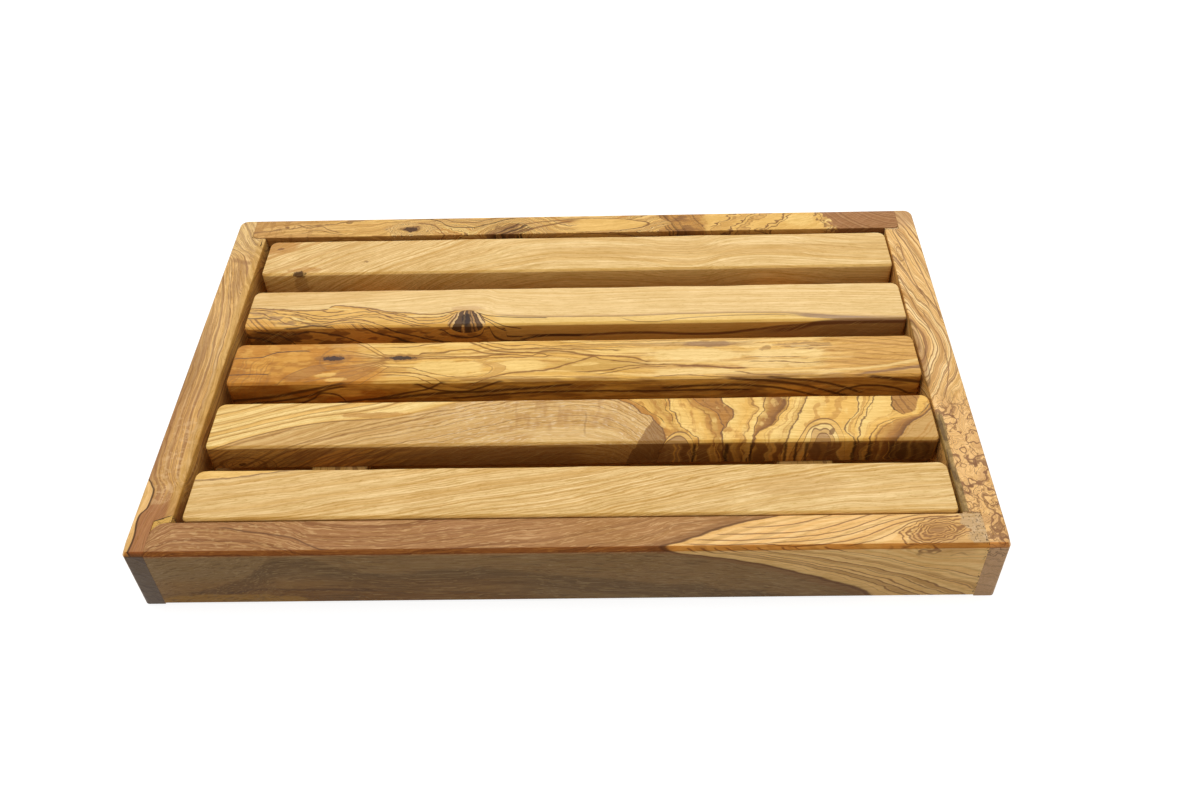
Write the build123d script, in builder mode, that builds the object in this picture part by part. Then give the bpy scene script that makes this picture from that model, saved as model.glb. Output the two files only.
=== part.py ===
"""Bread board with a crumb tray: a lift-out rack of slats in a shallow wooden box.

Millimetres, +Z up. The origin is at the middle of the box's footprint, on the surface it stands on.
+X runs along the slats and -Y is the front. The rack lies loose on the floor of the box.
Where a value or a loop goes by side and end, side -1 is left and 1 is right, end -1 is front and 1 is back.
"""

from build123d import *
from math import radians, tan
import os

os.makedirs("parts", exist_ok=True)

# Box
box_width = 400.0
box_depth = 250.0
box_height = 38.0

# Rails: the ends of the front and back rails sit in rebates cut in the side rails
side_rail_thickness = 18.0
front_rail_thickness = 18.5
back_rail_thickness = 16.8
tongue_thickness = 9.7  # left standing of a side rail outside each rebate
front_corner_round = 2.0
back_corner_round = 4.5
edge_chamfer = 1.4  # top outer arrises
foot_chamfer = 2.5  # bottom outer arris of each side rail
foot_arris = 0.8  # bottom outer arris of the front and back rails
side_inner_round = 1.8  # top inner arris of each side rail, worn by lifting the rack
end_inner_round = 0.8  # the same on the front and back rails

# Joints: each rail end has a rounded inner corner, and its rebate is a little too long, wide or out of square
front_left_end_round = 7.0
front_left_gap_at_tongue = 1.0
front_left_gap_inside = 4.6
front_right_end_round = 2.5
front_right_gap_at_tongue = 0.8
front_right_gap_inside = 1.2
back_left_end_round = 4.0
back_left_gap_at_tongue = 0.9
back_left_gap_inside = 0.6
back_right_end_round = 3.0
back_right_gap_at_tongue = 1.4
back_right_gap_inside = 2.0
filler_drop = 0.2  # how far the filler stops short of the rails' top and bottom faces

# Blind dowels in those joints
dowel_diameter = 6.0
dowel_setback = 7.5  # from the box's front or back face to a dowel's axis
dowel_in_tongue = 5.5
dowel_in_rail = 11.5
dowel_end_play = 0.4
dowel_play = 0.05  # round the dowel
lower_dowel_level = 15.0
upper_dowel_level = 29.0
dowel_chamfer = 0.6

# Floor: edge-glued boards held in a groove round the inside of the rails
floor_thickness = 6.0
floor_recess = 3.0  # from the rails' underside up to the boards
groove_depth = 5.0
groove_play = 0.2  # above the boards
floor_edge_play = 0.8  # between the boards' edges and the bottom of the groove
floor_board_count = 3

# Rack
slat_width = 30.7
slat_thickness = 15.5
slat_gap_slips = (1.0, -1.2, -0.2, 0.4)  # each gap less the even one, back to front: they were set by eye
slat_back_corner_round = 5.0
slat_front_corner_round = 2.5
slat_top_chamfer = 1.7
slat_bottom_round = 1.0
rack_end_play = 2.5  # between a slat's end and the side rail, with the rack in the middle
rack_side_play = 2.6  # the same between the outer slats and the front and back rails
rack_shift_right = 1.6  # where the loose rack happens to lie
rack_shift_forward = 1.0
seat_play = 0.2  # under the battens
batten_width = 27.0
batten_thickness = 13.0
batten_place = 64.0  # from the slats' ends to the batten's middle
batten_inset = 4.0  # from the rack's long sides to the battens' ends
batten_round = 1.2

# Countersunk wood screws, one at each crossing of slat and batten
screw_diameter = 3.5
screw_head_diameter = 7.0
screw_head_angle = 90.0
screw_head_sink = 0.8  # below the batten's underside
screw_length = 21.0
screw_core_diameter = 2.5
screw_plain_length = 9.0  # under the head, without thread
screw_thread_pitch = 1.4
screw_point_length = 2.4
screw_play = 0.05
screw_recess_width = 0.9
screw_recess_length = 4.2
screw_recess_depth = 1.2

# Places that follow from the sizes above
inside_x = box_width / 2 - side_rail_thickness
rail_end_x = box_width / 2 - tongue_thickness
end_rail_thickness = {-1: front_rail_thickness, 1: back_rail_thickness}
inside_y = {end: box_depth / 2 - end_rail_thickness[end] for end in (-1, 1)}
inside_depth = inside_y[-1] + inside_y[1]
inside_middle_y = (inside_y[1] - inside_y[-1]) / 2
rack_x = rack_shift_right
rack_y = inside_middle_y - rack_shift_forward
batten_bottom = floor_recess + floor_thickness + seat_play
slat_bottom = batten_bottom + batten_thickness
slat_length = 2 * (inside_x - rack_end_play)
rack_depth = inside_depth - 2 * rack_side_play
slat_count = len(slat_gap_slips) + 1
even_gap = (rack_depth - slat_count * slat_width) / (slat_count - 1)
batten_places = [rack_x + side * (slat_length / 2 - batten_place) for side in (-1, 1)]
screw_head_level = batten_bottom + screw_head_sink
screw_tip_level = screw_head_level + screw_length

slat_places = []  # the middle of each slat, back to front
slat_back_edge = rack_y + rack_depth / 2
for slip in (*slat_gap_slips, 0):
    slat_places.append(slat_back_edge - slat_width / 2)
    slat_back_edge -= slat_width + even_gap + slip

# Corner name, rounding of the rail's end, and gap at the tongue and inside
joints = {
    (-1, -1): ("front_left", front_left_end_round, front_left_gap_at_tongue, front_left_gap_inside),
    (1, -1): ("front_right", front_right_end_round, front_right_gap_at_tongue, front_right_gap_inside),
    (-1, 1): ("back_left", back_left_end_round, back_left_gap_at_tongue, back_left_gap_inside),
    (1, 1): ("back_right", back_right_end_round, back_right_gap_at_tongue, back_right_gap_inside),
}


def rebate_outline(side, end):
    """The four corners, in plan, of the rebate that takes a rail's end."""
    _, _, gap_at_tongue, gap_inside = joints[side, end]
    return [
        (side * rail_end_x, end * box_depth / 2),
        (side * rail_end_x, end * (inside_y[end] - gap_at_tongue)),
        (side * inside_x, end * (inside_y[end] - gap_inside)),
        (side * inside_x, end * box_depth / 2),
    ]


def end_rail_blank(end):
    """A front or back rail before its edges, groove and dowel holes are cut."""
    with BuildPart() as blank:
        with BuildSketch():
            with Locations((0, end * (inside_y[end] + box_depth / 2) / 2)):
                Rectangle(2 * rail_end_x, end_rail_thickness[end])
        extrude(amount=box_height)
        for side in (-1, 1):
            uprights = blank.edges().filter_by(Axis.Z).sort_by(Axis.X)
            end_uprights = uprights[-2:] if side > 0 else uprights[:2]
            inner_upright = end_uprights.sort_by(Axis.Y)[0 if end > 0 else -1]
            fillet(inner_upright, radius=joints[side, end][1])
    return blank.part


def dowel_seats(side, end):
    """Planes of a joint's dowels, on the face where tongue and rail meet, looking out of the box."""
    seat_y = end * (box_depth / 2 - dowel_setback)
    levels = (lower_dowel_level, upper_dowel_level)
    return [Plane((side * rail_end_x, seat_y, level), z_dir=(side, 0, 0)) for level in levels]


# Side rails
for side, name in ((-1, "side_rail_left"), (1, "side_rail_right")):
    with BuildPart() as side_rail:
        with BuildSketch(Plane.XZ.offset(-box_depth / 2)) as section:
            with Locations((side * (inside_x + box_width / 2) / 2, box_height / 2)):
                Rectangle(side_rail_thickness, box_height)
            foot = section.vertices().group_by(Axis.Y)[0].sort_by(Axis.X)[-1 if side > 0 else 0]
            chamfer(foot, length=foot_chamfer)
        extrude(amount=box_depth)
        with BuildSketch() as plan:
            with Locations((side * (inside_x + box_width / 2) / 2, 0)):
                Rectangle(side_rail_thickness, box_depth)
            for end, corner_round in ((-1, front_corner_round), (1, back_corner_round)):
                outer_corners = plan.vertices().group_by(Axis.X)[-1 if side > 0 else 0].sort_by(Axis.Y)
                fillet(outer_corners[-1 if end > 0 else 0], radius=corner_round)
                Polygon(*rebate_outline(side, end), align=None, mode=Mode.SUBTRACT)
        extrude(amount=box_height, mode=Mode.INTERSECT)
        top_edges = side_rail.faces().sort_by(Axis.Z)[-1].edges()
        outer_edges = top_edges.filter_by(lambda edge: abs(edge.center().X) > rail_end_x + edge_chamfer)
        chamfer(outer_edges, length=edge_chamfer)
        inner_edges = side_rail.faces().sort_by(Axis.Z)[-1].edges().filter_by(Axis.Y).sort_by(Axis.X)
        fillet(inner_edges[0 if side > 0 else -1], radius=side_inner_round)
        with BuildSketch(Plane.XY.offset(floor_recess)):
            with Locations((side * (inside_x + groove_depth / 2), inside_middle_y)):
                Rectangle(groove_depth, inside_depth)
        extrude(amount=floor_thickness + groove_play, mode=Mode.SUBTRACT)
        for end in (-1, 1):
            for seat in dowel_seats(side, end):
                with BuildSketch(seat):
                    Circle(dowel_diameter / 2 + dowel_play)
                extrude(amount=dowel_in_tongue + dowel_end_play, mode=Mode.SUBTRACT)
    side_rail.part.label = name
    export_step(side_rail.part, f"parts/{name}.step")

# Front and back rails
for end, name in ((-1, "front_rail"), (1, "back_rail")):
    with BuildPart() as end_rail:
        add(end_rail_blank(end))
        outer_face = end_rail.faces().sort_by(Axis.Y)[-1 if end > 0 else 0]
        outer_edges = outer_face.edges().filter_by(Axis.X).sort_by(Axis.Z)
        chamfer(outer_edges[0], length=foot_arris)
        chamfer(outer_edges[-1], length=edge_chamfer)
        inner_edges = end_rail.faces().sort_by(Axis.Z)[-1].edges().filter_by(Axis.X).sort_by(Axis.Y)
        fillet(inner_edges[0 if end > 0 else -1], radius=end_inner_round)
        with BuildSketch(Plane.XY.offset(floor_recess)):
            with Locations((0, end * (inside_y[end] + groove_depth / 2))):
                Rectangle(2 * rail_end_x, groove_depth)
        extrude(amount=floor_thickness + groove_play, mode=Mode.SUBTRACT)
        for side in (-1, 1):
            for seat in dowel_seats(side, end):
                with BuildSketch(seat):
                    Circle(dowel_diameter / 2 + dowel_play)
                extrude(amount=-(dowel_in_rail + dowel_end_play), mode=Mode.SUBTRACT)
    end_rail.part.label = name
    export_step(end_rail.part, f"parts/{name}.step")

# Floor boards, front to back
floor_width = 2 * (inside_x + groove_depth - floor_edge_play)
floor_depth = inside_depth + 2 * (groove_depth - floor_edge_play)
floor_board_depth = floor_depth / floor_board_count
floor_front = inside_middle_y - floor_depth / 2
for i in range(floor_board_count):
    with BuildPart() as floor_board:
        with BuildSketch(Plane.XY.offset(floor_recess)):
            with Locations((0, floor_front + (i + 0.5) * floor_board_depth)):
                Rectangle(floor_width, floor_board_depth)
        extrude(amount=floor_thickness)
    name = f"floor_board_{i + 1}"
    floor_board.part.label = name
    export_step(floor_board.part, f"parts/{name}.step")

# Filler between each rail's end and its rebate, and the dowels of that joint
for (side, end), (corner, *_) in joints.items():
    with BuildPart() as filler:
        with BuildSketch(Plane.XY.offset(filler_drop)):
            Polygon(*rebate_outline(side, end), align=None)
        extrude(amount=box_height - 2 * filler_drop)
        add(end_rail_blank(end), mode=Mode.SUBTRACT)
        with BuildSketch(Plane.XY.offset(floor_recess)):
            with Locations((0, inside_middle_y)):
                Rectangle(floor_width, floor_depth)
        extrude(amount=floor_thickness, mode=Mode.SUBTRACT)
    filler.part.label = f"filler_{corner}"
    export_step(filler.part, f"parts/filler_{corner}.step")

    with BuildPart() as dowels:
        for seat in dowel_seats(side, end):
            with BuildSketch(seat.offset(-dowel_in_rail)):
                Circle(dowel_diameter / 2)
            extrude(amount=dowel_in_rail + dowel_in_tongue)
        chamfer(dowels.edges().filter_by(GeomType.CIRCLE), length=dowel_chamfer)
    dowels.part.label = f"dowels_{corner}"
    export_step(dowels.part, f"parts/dowels_{corner}.step")

# Slats, back to front, with a blind hole over each screw
for i, slat_y in enumerate(slat_places):
    with BuildPart() as slat:
        with BuildSketch(Plane.XY.offset(slat_bottom)) as plan:
            with Locations((rack_x, slat_y)):
                Rectangle(slat_length, slat_width)
            fillet(plan.vertices().group_by(Axis.Y)[-1], radius=slat_back_corner_round)
            fillet(plan.vertices().group_by(Axis.Y)[0], radius=slat_front_corner_round)
        extrude(amount=slat_thickness)
        chamfer(slat.faces().sort_by(Axis.Z)[-1].edges(), length=slat_top_chamfer)
        fillet(slat.faces().sort_by(Axis.Z)[0].edges(), radius=slat_bottom_round)
        with BuildSketch(Plane.XY.offset(slat_bottom)):
            with Locations(*((batten_x, slat_y) for batten_x in batten_places)):
                Circle(screw_diameter / 2 + screw_play)
        extrude(amount=screw_tip_level + screw_play - slat_bottom, mode=Mode.SUBTRACT)
    name = f"slat_{i + 1}"
    slat.part.label = name
    export_step(slat.part, f"parts/{name}.step")

# Battens across the undersides of the slats, countersunk from below
for batten_x, name in zip(batten_places, ("batten_left", "batten_right")):
    with BuildPart() as batten:
        with BuildSketch(Plane.XY.offset(batten_bottom)):
            with Locations((batten_x, rack_y)):
                Rectangle(batten_width, rack_depth - 2 * batten_inset)
        extrude(amount=batten_thickness)
        fillet(batten.faces().sort_by(Axis.Z)[0].edges(), radius=batten_round)
        for slat_y in slat_places:
            with Locations(Plane((batten_x, slat_y, screw_head_level), z_dir=(0, 0, -1))):
                CounterSinkHole(
                    radius=screw_diameter / 2 + screw_play,
                    counter_sink_radius=screw_head_diameter / 2 + screw_play,
                    depth=batten_thickness,
                    counter_sink_angle=screw_head_angle,
                )
    batten.part.label = name
    export_step(batten.part, f"parts/{name}.step")

# Screws: the half section of one is turned about its own axis, with each turn of thread as a ridge
crest = screw_diameter / 2
core = screw_core_diameter / 2
screw_head_height = (screw_head_diameter / 2 - crest) / tan(radians(screw_head_angle / 2))
thread_start = screw_head_level + screw_plain_length
thread_end = screw_tip_level - screw_point_length
ridge_count = int((thread_end - thread_start) / screw_thread_pitch)
half_section = [
    (0, screw_head_level),
    (screw_head_diameter / 2, screw_head_level),
    (crest, screw_head_level + screw_head_height),
]
for i in range(ridge_count):
    ridge_level = thread_start + i * screw_thread_pitch
    half_section += [(crest, ridge_level), (core, ridge_level + screw_thread_pitch / 2)]
half_section += [(core, thread_end), (0, screw_tip_level)]
for batten_x, name in zip(batten_places, ("screws_left", "screws_right")):
    with BuildPart() as screws:
        for slat_y in slat_places:
            with BuildSketch(Plane((batten_x, slat_y, 0), x_dir=(1, 0, 0), z_dir=(0, -1, 0))):
                with BuildLine():
                    Polyline(*half_section, close=True)
                make_face()
            revolve(axis=Axis((batten_x, slat_y, 0), (0, 0, 1)))
        with BuildSketch(Plane.XY.offset(screw_head_level)):
            with Locations(*((batten_x, slat_y) for slat_y in slat_places)):
                Rectangle(screw_recess_length, screw_recess_width)
                Rectangle(screw_recess_width, screw_recess_length)
        extrude(amount=screw_recess_depth, mode=Mode.SUBTRACT)
    screws.part.label = name
    export_step(screws.part, f"parts/{name}.step")
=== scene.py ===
"""Looks of the bread board: worn olive-wood rails and slats, filled corner joints, and a white studio.

Lengths in the meshes are metres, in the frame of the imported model. The figure of the wood is written in
millimetres: each board has an along and an across measure, and across is 0 at the board's top outer arris,
more over its top and less down its outer face, so a vein runs over the arris as it does in real wood.
"""

import math

import bmesh
import bpy
from bpy.props import FloatProperty, FloatVectorProperty, PointerProperty
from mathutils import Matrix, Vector


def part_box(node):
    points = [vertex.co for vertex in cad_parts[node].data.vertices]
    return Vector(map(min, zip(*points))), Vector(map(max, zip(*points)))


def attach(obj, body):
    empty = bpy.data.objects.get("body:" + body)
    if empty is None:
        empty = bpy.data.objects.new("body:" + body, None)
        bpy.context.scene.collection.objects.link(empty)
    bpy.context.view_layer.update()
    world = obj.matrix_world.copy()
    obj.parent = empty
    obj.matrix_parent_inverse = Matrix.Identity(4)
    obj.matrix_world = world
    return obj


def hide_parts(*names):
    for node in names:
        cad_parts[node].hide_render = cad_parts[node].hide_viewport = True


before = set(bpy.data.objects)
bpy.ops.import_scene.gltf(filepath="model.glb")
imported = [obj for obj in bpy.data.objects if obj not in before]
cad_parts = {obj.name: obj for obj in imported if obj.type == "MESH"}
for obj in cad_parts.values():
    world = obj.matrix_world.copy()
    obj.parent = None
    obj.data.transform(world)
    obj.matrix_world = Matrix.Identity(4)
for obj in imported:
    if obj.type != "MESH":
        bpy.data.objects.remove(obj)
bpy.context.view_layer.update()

bl_info = {
    "name": "Bread board looks",
    "version": (1, 0, 0),
    "blender": (4, 5, 0),
    "location": "View3D > Sidebar > Bread board",
    "description": "Builds the worn wooden pieces, their finishes and the studio",
    "category": "Object",
}

MM = 0.001
TOLERANCE = 1e-5  # metres, for telling points apart
CUT_STEP = 6 * MM  # between the cross cuts that let a long arris wander
LIP = 1 * MM  # how far a cutter reaches out of the wood
DOWEL_PLAY = 0.05 * MM  # round a dowel
DOWEL_END_PLAY = 0.8 * MM  # both ends of a dowel together

KEY_PLACE = (0.0, 0.3, 1.2)
KEY_SIZE = (1.6, 1.0)
CAMERA_PLACE = (0.0282845, -0.4469699, 0.4578322)
CAMERA_TURN = (44.7601, 1.38692, 0.26888)  # degrees round x, y and z
CAMERA_LENS = 35.181  # on a sensor 36 wide


# Settings that a user would change


def length(name, description, default_mm, top_mm=30.0):
    return FloatProperty(name=name, description=description, default=default_mm * MM, min=0.0,
            max=top_mm * MM, subtype="DISTANCE", unit="LENGTH", precision=5)


def colour(name, description, default):
    return FloatVectorProperty(name=name, description=description, default=default, size=3, min=0.0, max=1.0,
            subtype="COLOR")


class BoardSizes(bpy.types.PropertyGroup):
    """Roundings, chamfers and wear of the wooden pieces"""

    edge_chamfer: length("Front chamfer", "Flat on the front's top arris", 1.4)
    side_arris: length("Side and back arris", "Flat on the other top outer arrises, which are crisper", 0.6)
    foot_chamfer: length("Foot chamfer", "Flat on the side rails' bottom outer arrises", 2.5)
    foot_arris: length("Foot arris", "Flat on the end rails' bottom outer arrises", 0.8)
    front_corner_round: length("Front corners", "Rounding of the box's front corners", 2.0)
    back_corner_round: length("Back corners", "Rounding of the box's back corners", 4.5)
    side_inner_round: length("Worn inner arris", "Rounding of the side rails' top inner arrises", 1.8)
    end_inner_round: length("Inner arris", "Rounding of the end rails' top inner arrises", 0.8)
    front_left_round: length("Front rail, left end", "Rounding of the rail end inside its joint", 7.0)
    front_right_round: length("Front rail, right end", "Rounding of the rail end inside its joint", 2.5)
    back_left_round: length("Back rail, left end", "Rounding of the rail end inside its joint", 4.0)
    back_right_round: length("Back rail, right end", "Rounding of the rail end inside its joint", 3.0)
    front_left_gap: length("Front left gap", "How much too wide the rebate is at its tongue", 1.0)
    front_right_gap: length("Front right gap", "How much too wide the rebate is at its tongue", 0.8)
    back_left_gap: length("Back left gap", "How much too wide the rebate is at its tongue", 0.9)
    back_right_gap: length("Back right gap", "How much too wide the rebate is at its tongue", 1.4)
    groove_depth: length("Groove depth", "Depth of the groove that holds the floor", 5.0)
    groove_low: length("Groove bottom", "Height of the groove's lower side", 3.0)
    groove_high: length("Groove top", "Height of the groove's upper side", 9.2)
    slat_back_round: length("Slat back corners", "Rounding of each slat's back corners", 5.0)
    slat_front_round: length("Slat front corners", "Rounding of each slat's front corners", 2.5)
    slat_top_chamfer: length("Slat chamfer", "Flat round each slat's top", 1.2)
    slat_end_crispness: length("Slat ends", "How much narrower the chamfer is at the slats' ends", 0.7)
    slat_back_crispness: length("Slat backs", "How much narrower the chamfer is at the slats' backs", 0.5)
    slat_bottom_round: length("Slat underside", "Rounding of each slat's bottom arrises", 1.0)
    arris_softening: length("Softening", "Rounding that sanding leaves on every arris", 0.3)
    hand_wear: length("Hand wear", "How much the width of the chamfers wanders", 1.0)
    sanding: length("Sanding", "Deepest hollow that sanding leaves in a face", 0.25)
    filler_lumps: length("Filler lumps", "How far the dried filler has sunk between its lumps", 0.35)


class WoodColours(bpy.types.PropertyGroup):
    """Tones of the olive wood, from sapwood to heart"""

    pale: colour("Pale", "Plain sapwood", (0.85, 0.58, 0.245))
    honey: colour("Honey", "Darker rings of the pale boards", (0.64, 0.365, 0.095))
    gold: colour("Gold", "Bright wood between the veins", (0.84, 0.51, 0.15))
    straw: colour("Straw", "The brightest wood", (0.93, 0.655, 0.255))
    amber: colour("Amber", "Warm wood round the knots", (0.52, 0.235, 0.052))
    tan: colour("Tan", "Dull wood of the middle tone", (0.64, 0.375, 0.125))
    russet: colour("Russet", "Reddish heartwood", (0.34, 0.165, 0.065))
    brown: colour("Brown", "Brown bands and shadows of knots", (0.24, 0.105, 0.036))
    vein: colour("Vein", "Dark veins", (0.065, 0.028, 0.013))
    putty: colour("Filler", "Wood filler", (0.61, 0.395, 0.19))


class StudioLight(bpy.types.PropertyGroup):
    """The white surroundings"""

    key_power: FloatProperty(name="Key", description="Power of the large lamp over the back of the board",
            default=8.6, min=0.0, unit="POWER")
    sky_level: FloatProperty(name="Sky", description="Light from all round", default=0.61, min=0.0, max=2.0)
    floor_level: FloatProperty(name="Floor", description="How much light the floor sends back", default=0.40,
            min=0.0, max=1.0, subtype="FACTOR")
    background: FloatProperty(name="Background", description="What the camera sees of the surroundings",
            default=1.0, min=0.0, max=1.0)


# Figure of the wood


def tone_of(tone):
    """A colour as it is, or by its name in the settings."""
    return getattr(bpy.context.scene.board_colours, tone) if isinstance(tone, str) else tone


class Field:
    """A number that varies through the wood. Arithmetic on it adds the nodes that work it out."""

    def __init__(self, wood, socket):
        self.wood = wood
        self.socket = socket

    def __add__(self, other):
        return self.wood.math("ADD", self, other)

    def __sub__(self, other):
        return self.wood.math("SUBTRACT", self, other)

    def __rsub__(self, other):
        return self.wood.math("SUBTRACT", other, self)

    def __mul__(self, other):
        return self.wood.math("MULTIPLY", self, other)

    def __truediv__(self, other):
        return self.wood.math("DIVIDE", self, other)

    def __abs__(self):
        return self.wood.math("ABSOLUTE", self)

    __radd__ = __add__
    __rmul__ = __mul__

    def least(self, other):
        return self.wood.math("MINIMUM", self, other)

    def most(self, other):
        return self.wood.math("MAXIMUM", self, other)

    def rise(self, low, high):
        """0 up to low, 1 from high, smooth between. With low above high it falls instead."""
        node = self.wood.add("ShaderNodeMapRange")
        node.interpolation_type = "SMOOTHSTEP"
        self.wood.feed(node.inputs["Value"], self)
        low_end, high_end, flip = (low, high, False) if low < high else (high, low, True)
        node.inputs["From Min"].default_value = low_end
        node.inputs["From Max"].default_value = high_end
        node.inputs["To Min"].default_value = 1.0 if flip else 0.0
        node.inputs["To Max"].default_value = 0.0 if flip else 1.0
        return Field(self.wood, node.outputs["Result"])

    def line(self, at, half_width):
        """1 where the field is at a value, 0 from half_width away."""
        return (abs(self - at) / half_width).rise(1.0, 0.2)

    def within(self, low, high, soft=1.0):
        """1 between two values, falling off over soft outside them."""
        return self.rise(low - soft, low) * self.rise(high + soft, high)


class Figure:
    """A wood material in the making: fields through the wood, and coats of colour laid over each other."""

    def __init__(self, name, base, seed=0.0):
        self.material = bpy.data.materials.new(name)
        self.material.use_nodes = True
        self.tree = self.material.node_tree
        self.tree.nodes.clear()
        place = self.add("ShaderNodeTexCoord").outputs["Object"]
        self.place = self.vector("SCALE", place, scale=1 / MM)
        parts = self.add("ShaderNodeSeparateXYZ")
        self.tree.links.new(self.place, parts.inputs[0])
        self.x, self.y, self.z = (Field(self, parts.outputs[i]) for i in range(3))
        self.along = self.x
        self.across = self.y
        self.waver = 0.0
        self.colour = base
        self.seed = seed
        geometry = self.add("ShaderNodeNewGeometry")
        facing = self.add("ShaderNodeSeparateXYZ")
        self.tree.links.new(geometry.outputs["Normal"], facing.inputs[0])
        self.facing_x, self.facing_y, self.facing_z = (Field(self, facing.outputs[i]) for i in range(3))

    def add(self, kind):
        return self.tree.nodes.new(kind)

    def feed(self, socket, value):
        """Links a field or a socket, or sets a number, a colour or a colour's name."""
        value = tone_of(value)
        if isinstance(value, Field):
            self.tree.links.new(value.socket, socket)
        elif isinstance(value, bpy.types.NodeSocket):
            self.tree.links.new(value, socket)
        elif hasattr(value, "__len__") and len(value) == 3 and len(socket.default_value) == 4:
            socket.default_value = (*value, 1.0)
        else:
            socket.default_value = value

    def math(self, operation, *values):
        node = self.add("ShaderNodeMath")
        node.operation = operation
        for socket, value in zip(node.inputs, values):
            self.feed(socket, value)
        return Field(self, node.outputs[0])

    def vector(self, operation, *values, scale=None):
        node = self.add("ShaderNodeVectorMath")
        node.operation = operation
        for socket, value in zip(node.inputs, values):
            self.feed(socket, value)
        if scale is not None:
            node.inputs["Scale"].default_value = scale
        return node.outputs[0]

    def joined(self, *values):
        node = self.add("ShaderNodeCombineXYZ")
        for socket, value in zip(node.inputs, values):
            self.feed(socket, value)
        return node.outputs[0]

    def noise(self, size, detail=2.0, seed=0.0, place=None, roughness=0.5):
        """Smooth noise of about -0.5 to 0.5 whose blobs measure size, in millimetres along each axis."""
        stretch = [1 / s for s in size]
        spot = self.vector("MULTIPLY_ADD", place or self.place, stretch, [self.seed + seed] * 3)
        node = self.add("ShaderNodeTexNoise")
        self.feed(node.inputs["Vector"], spot)
        node.inputs["Scale"].default_value = 1.0
        node.inputs["Detail"].default_value = detail
        node.inputs["Roughness"].default_value = roughness
        return self.math("MULTIPLY_ADD", node.outputs[0], 2.0, -1.0)

    def grained(self, grain, length, width, detail=2.0, seed=0.0, roughness=0.55):
        """Noise drawn out along the grain."""
        place = self.joined(self.along, grain, self.z + self.across * 0.4)
        return self.noise((length, width, width * 1.6), detail, seed, place, roughness)

    def rings(self, field, size, seed=0.0, detail=1.0):
        """Noise that varies only with the field, so that its levels run along the grain."""
        node = self.add("ShaderNodeTexNoise")
        node.noise_dimensions = "1D"
        self.feed(node.inputs["W"], field * (1 / size) + (self.seed + seed))
        node.inputs["Scale"].default_value = 1.0
        node.inputs["Detail"].default_value = detail
        return self.math("MULTIPLY_ADD", node.outputs[0], 2.0, -1.0)

    def curve(self, field, points):
        """A smooth function of the field through the given points."""
        starts, values = zip(*points)
        low, high, floor, roof = starts[0], starts[-1], min(values), max(values)
        node = self.add("ShaderNodeFloatCurve")
        share = self.math("MULTIPLY_ADD", field, 1 / (high - low), -low / (high - low))
        self.feed(node.inputs["Value"], share.most(0.0).least(1.0))
        curve = node.mapping.curves[0]
        for _ in points[2:]:
            curve.points.new(0.5, 0.5)
        for point, (start, value) in zip(curve.points, points):
            point.location = ((start - low) / (high - low), (value - floor) / (roof - floor))
        for point, (start, value) in zip(curve.points, points):
            point.handle_type = "AUTO_CLAMPED"
        node.mapping.update()
        return Field(self, node.outputs[0]) * (roof - floor) + floor

    def path(self, *points):
        """A line drawn along the board: how far across it lies, from points (along, across)."""
        return self.curve(self.along, points)

    def stroke(self, tone, half_width, *points, share=0.85, fade=5.0):
        """A vein drawn along the board through points (along, across), thin or wide by half_width."""
        reach = self.along.within(points[0][0], points[-1][0], fade)
        line = (self.across + self.waver - self.path(*points)).line(0.0, half_width)
        self.coat(tone, line * reach * share)

    def blot(self, tone, share, *spot):
        """Coats a ragged patch."""
        self.coat(tone, self.spot(*spot) * share)

    def coat_rings(self, tone, share, field, size, seed, detail, low, high):
        """Coats the rings of a field where they rise from low to high."""
        self.coat(tone, self.rings(field, size, seed, detail).rise(low, high) * share)

    def coat_lines(self, tone, share, field, size, seed, detail, level, half_width):
        """Coats thin lines that follow the rings of a field."""
        self.coat(tone, self.rings(field, size, seed, detail).line(level, half_width) * share)

    def strokes(self, tone, lines, share=0.85, fade=5.0):
        """Veins of one tone: each line is its half width, then its points."""
        for half_width, *points in lines:
            self.stroke(tone, half_width, *points, share=share, fade=fade)

    def flow(self, field, lines):
        """0 on the first line, 1 on the next and so on, rising smoothly between them."""
        total = (field - lines[0]).least(0.0) * 0.15
        for low, high in zip(lines, lines[1:]):
            share = (field - low) / (high - low).most(0.05)
            total = total + share.most(0.0).least(1.0)
        return total + (field - lines[-1]).most(0.0) * 0.15

    def hump(self, along, across, reach_along, reach_across, height=1.0):
        """A smooth hill round a point of the board, for bending the grain round a knot."""
        u = (self.along - along) * (1 / reach_along)
        v = (self.across - across) * (1 / reach_across)
        return self.math("EXPONENT", (u * u + v * v) * -1.0) * height

    def oval(self, along, across, half_length, half_width, lean=0.0):
        """0 at a point of the board and 1 on an oval round it."""
        u = (self.along - along - (self.across - across) * lean) * (1 / half_length)
        v = (self.across - across) * (1 / half_width)
        return self.math("SQRT", u * u + v * v)

    def spot(self, along, across, half_length, half_width, ragged=0.5, size=3.0, lean=0.0):
        """A ragged patch: 1 inside, 0 outside."""
        edge = self.noise((size, size, size), 3.0, along) * ragged
        return (self.oval(along, across, half_length, half_width, lean) + edge).rise(1.15, 0.75)

    def bands(self, field, *stops):
        """A colour for each value of the field: stops are (value, colour), lowest first."""
        low, high = stops[0][0], stops[-1][0]
        node = self.add("ShaderNodeValToRGB")
        self.feed(node.inputs[0], self.math("MULTIPLY_ADD", field, 1 / (high - low), -low / (high - low)))
        elements = node.color_ramp.elements
        for _ in stops[2:]:
            elements.new(0.5)
        for element, (value, tone) in zip(elements, stops):
            element.position = (value - low) / (high - low)
        for element, (value, tone) in zip(elements, stops):
            element.color = (*tone_of(tone), 1.0)
        return node.outputs[0]

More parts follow.
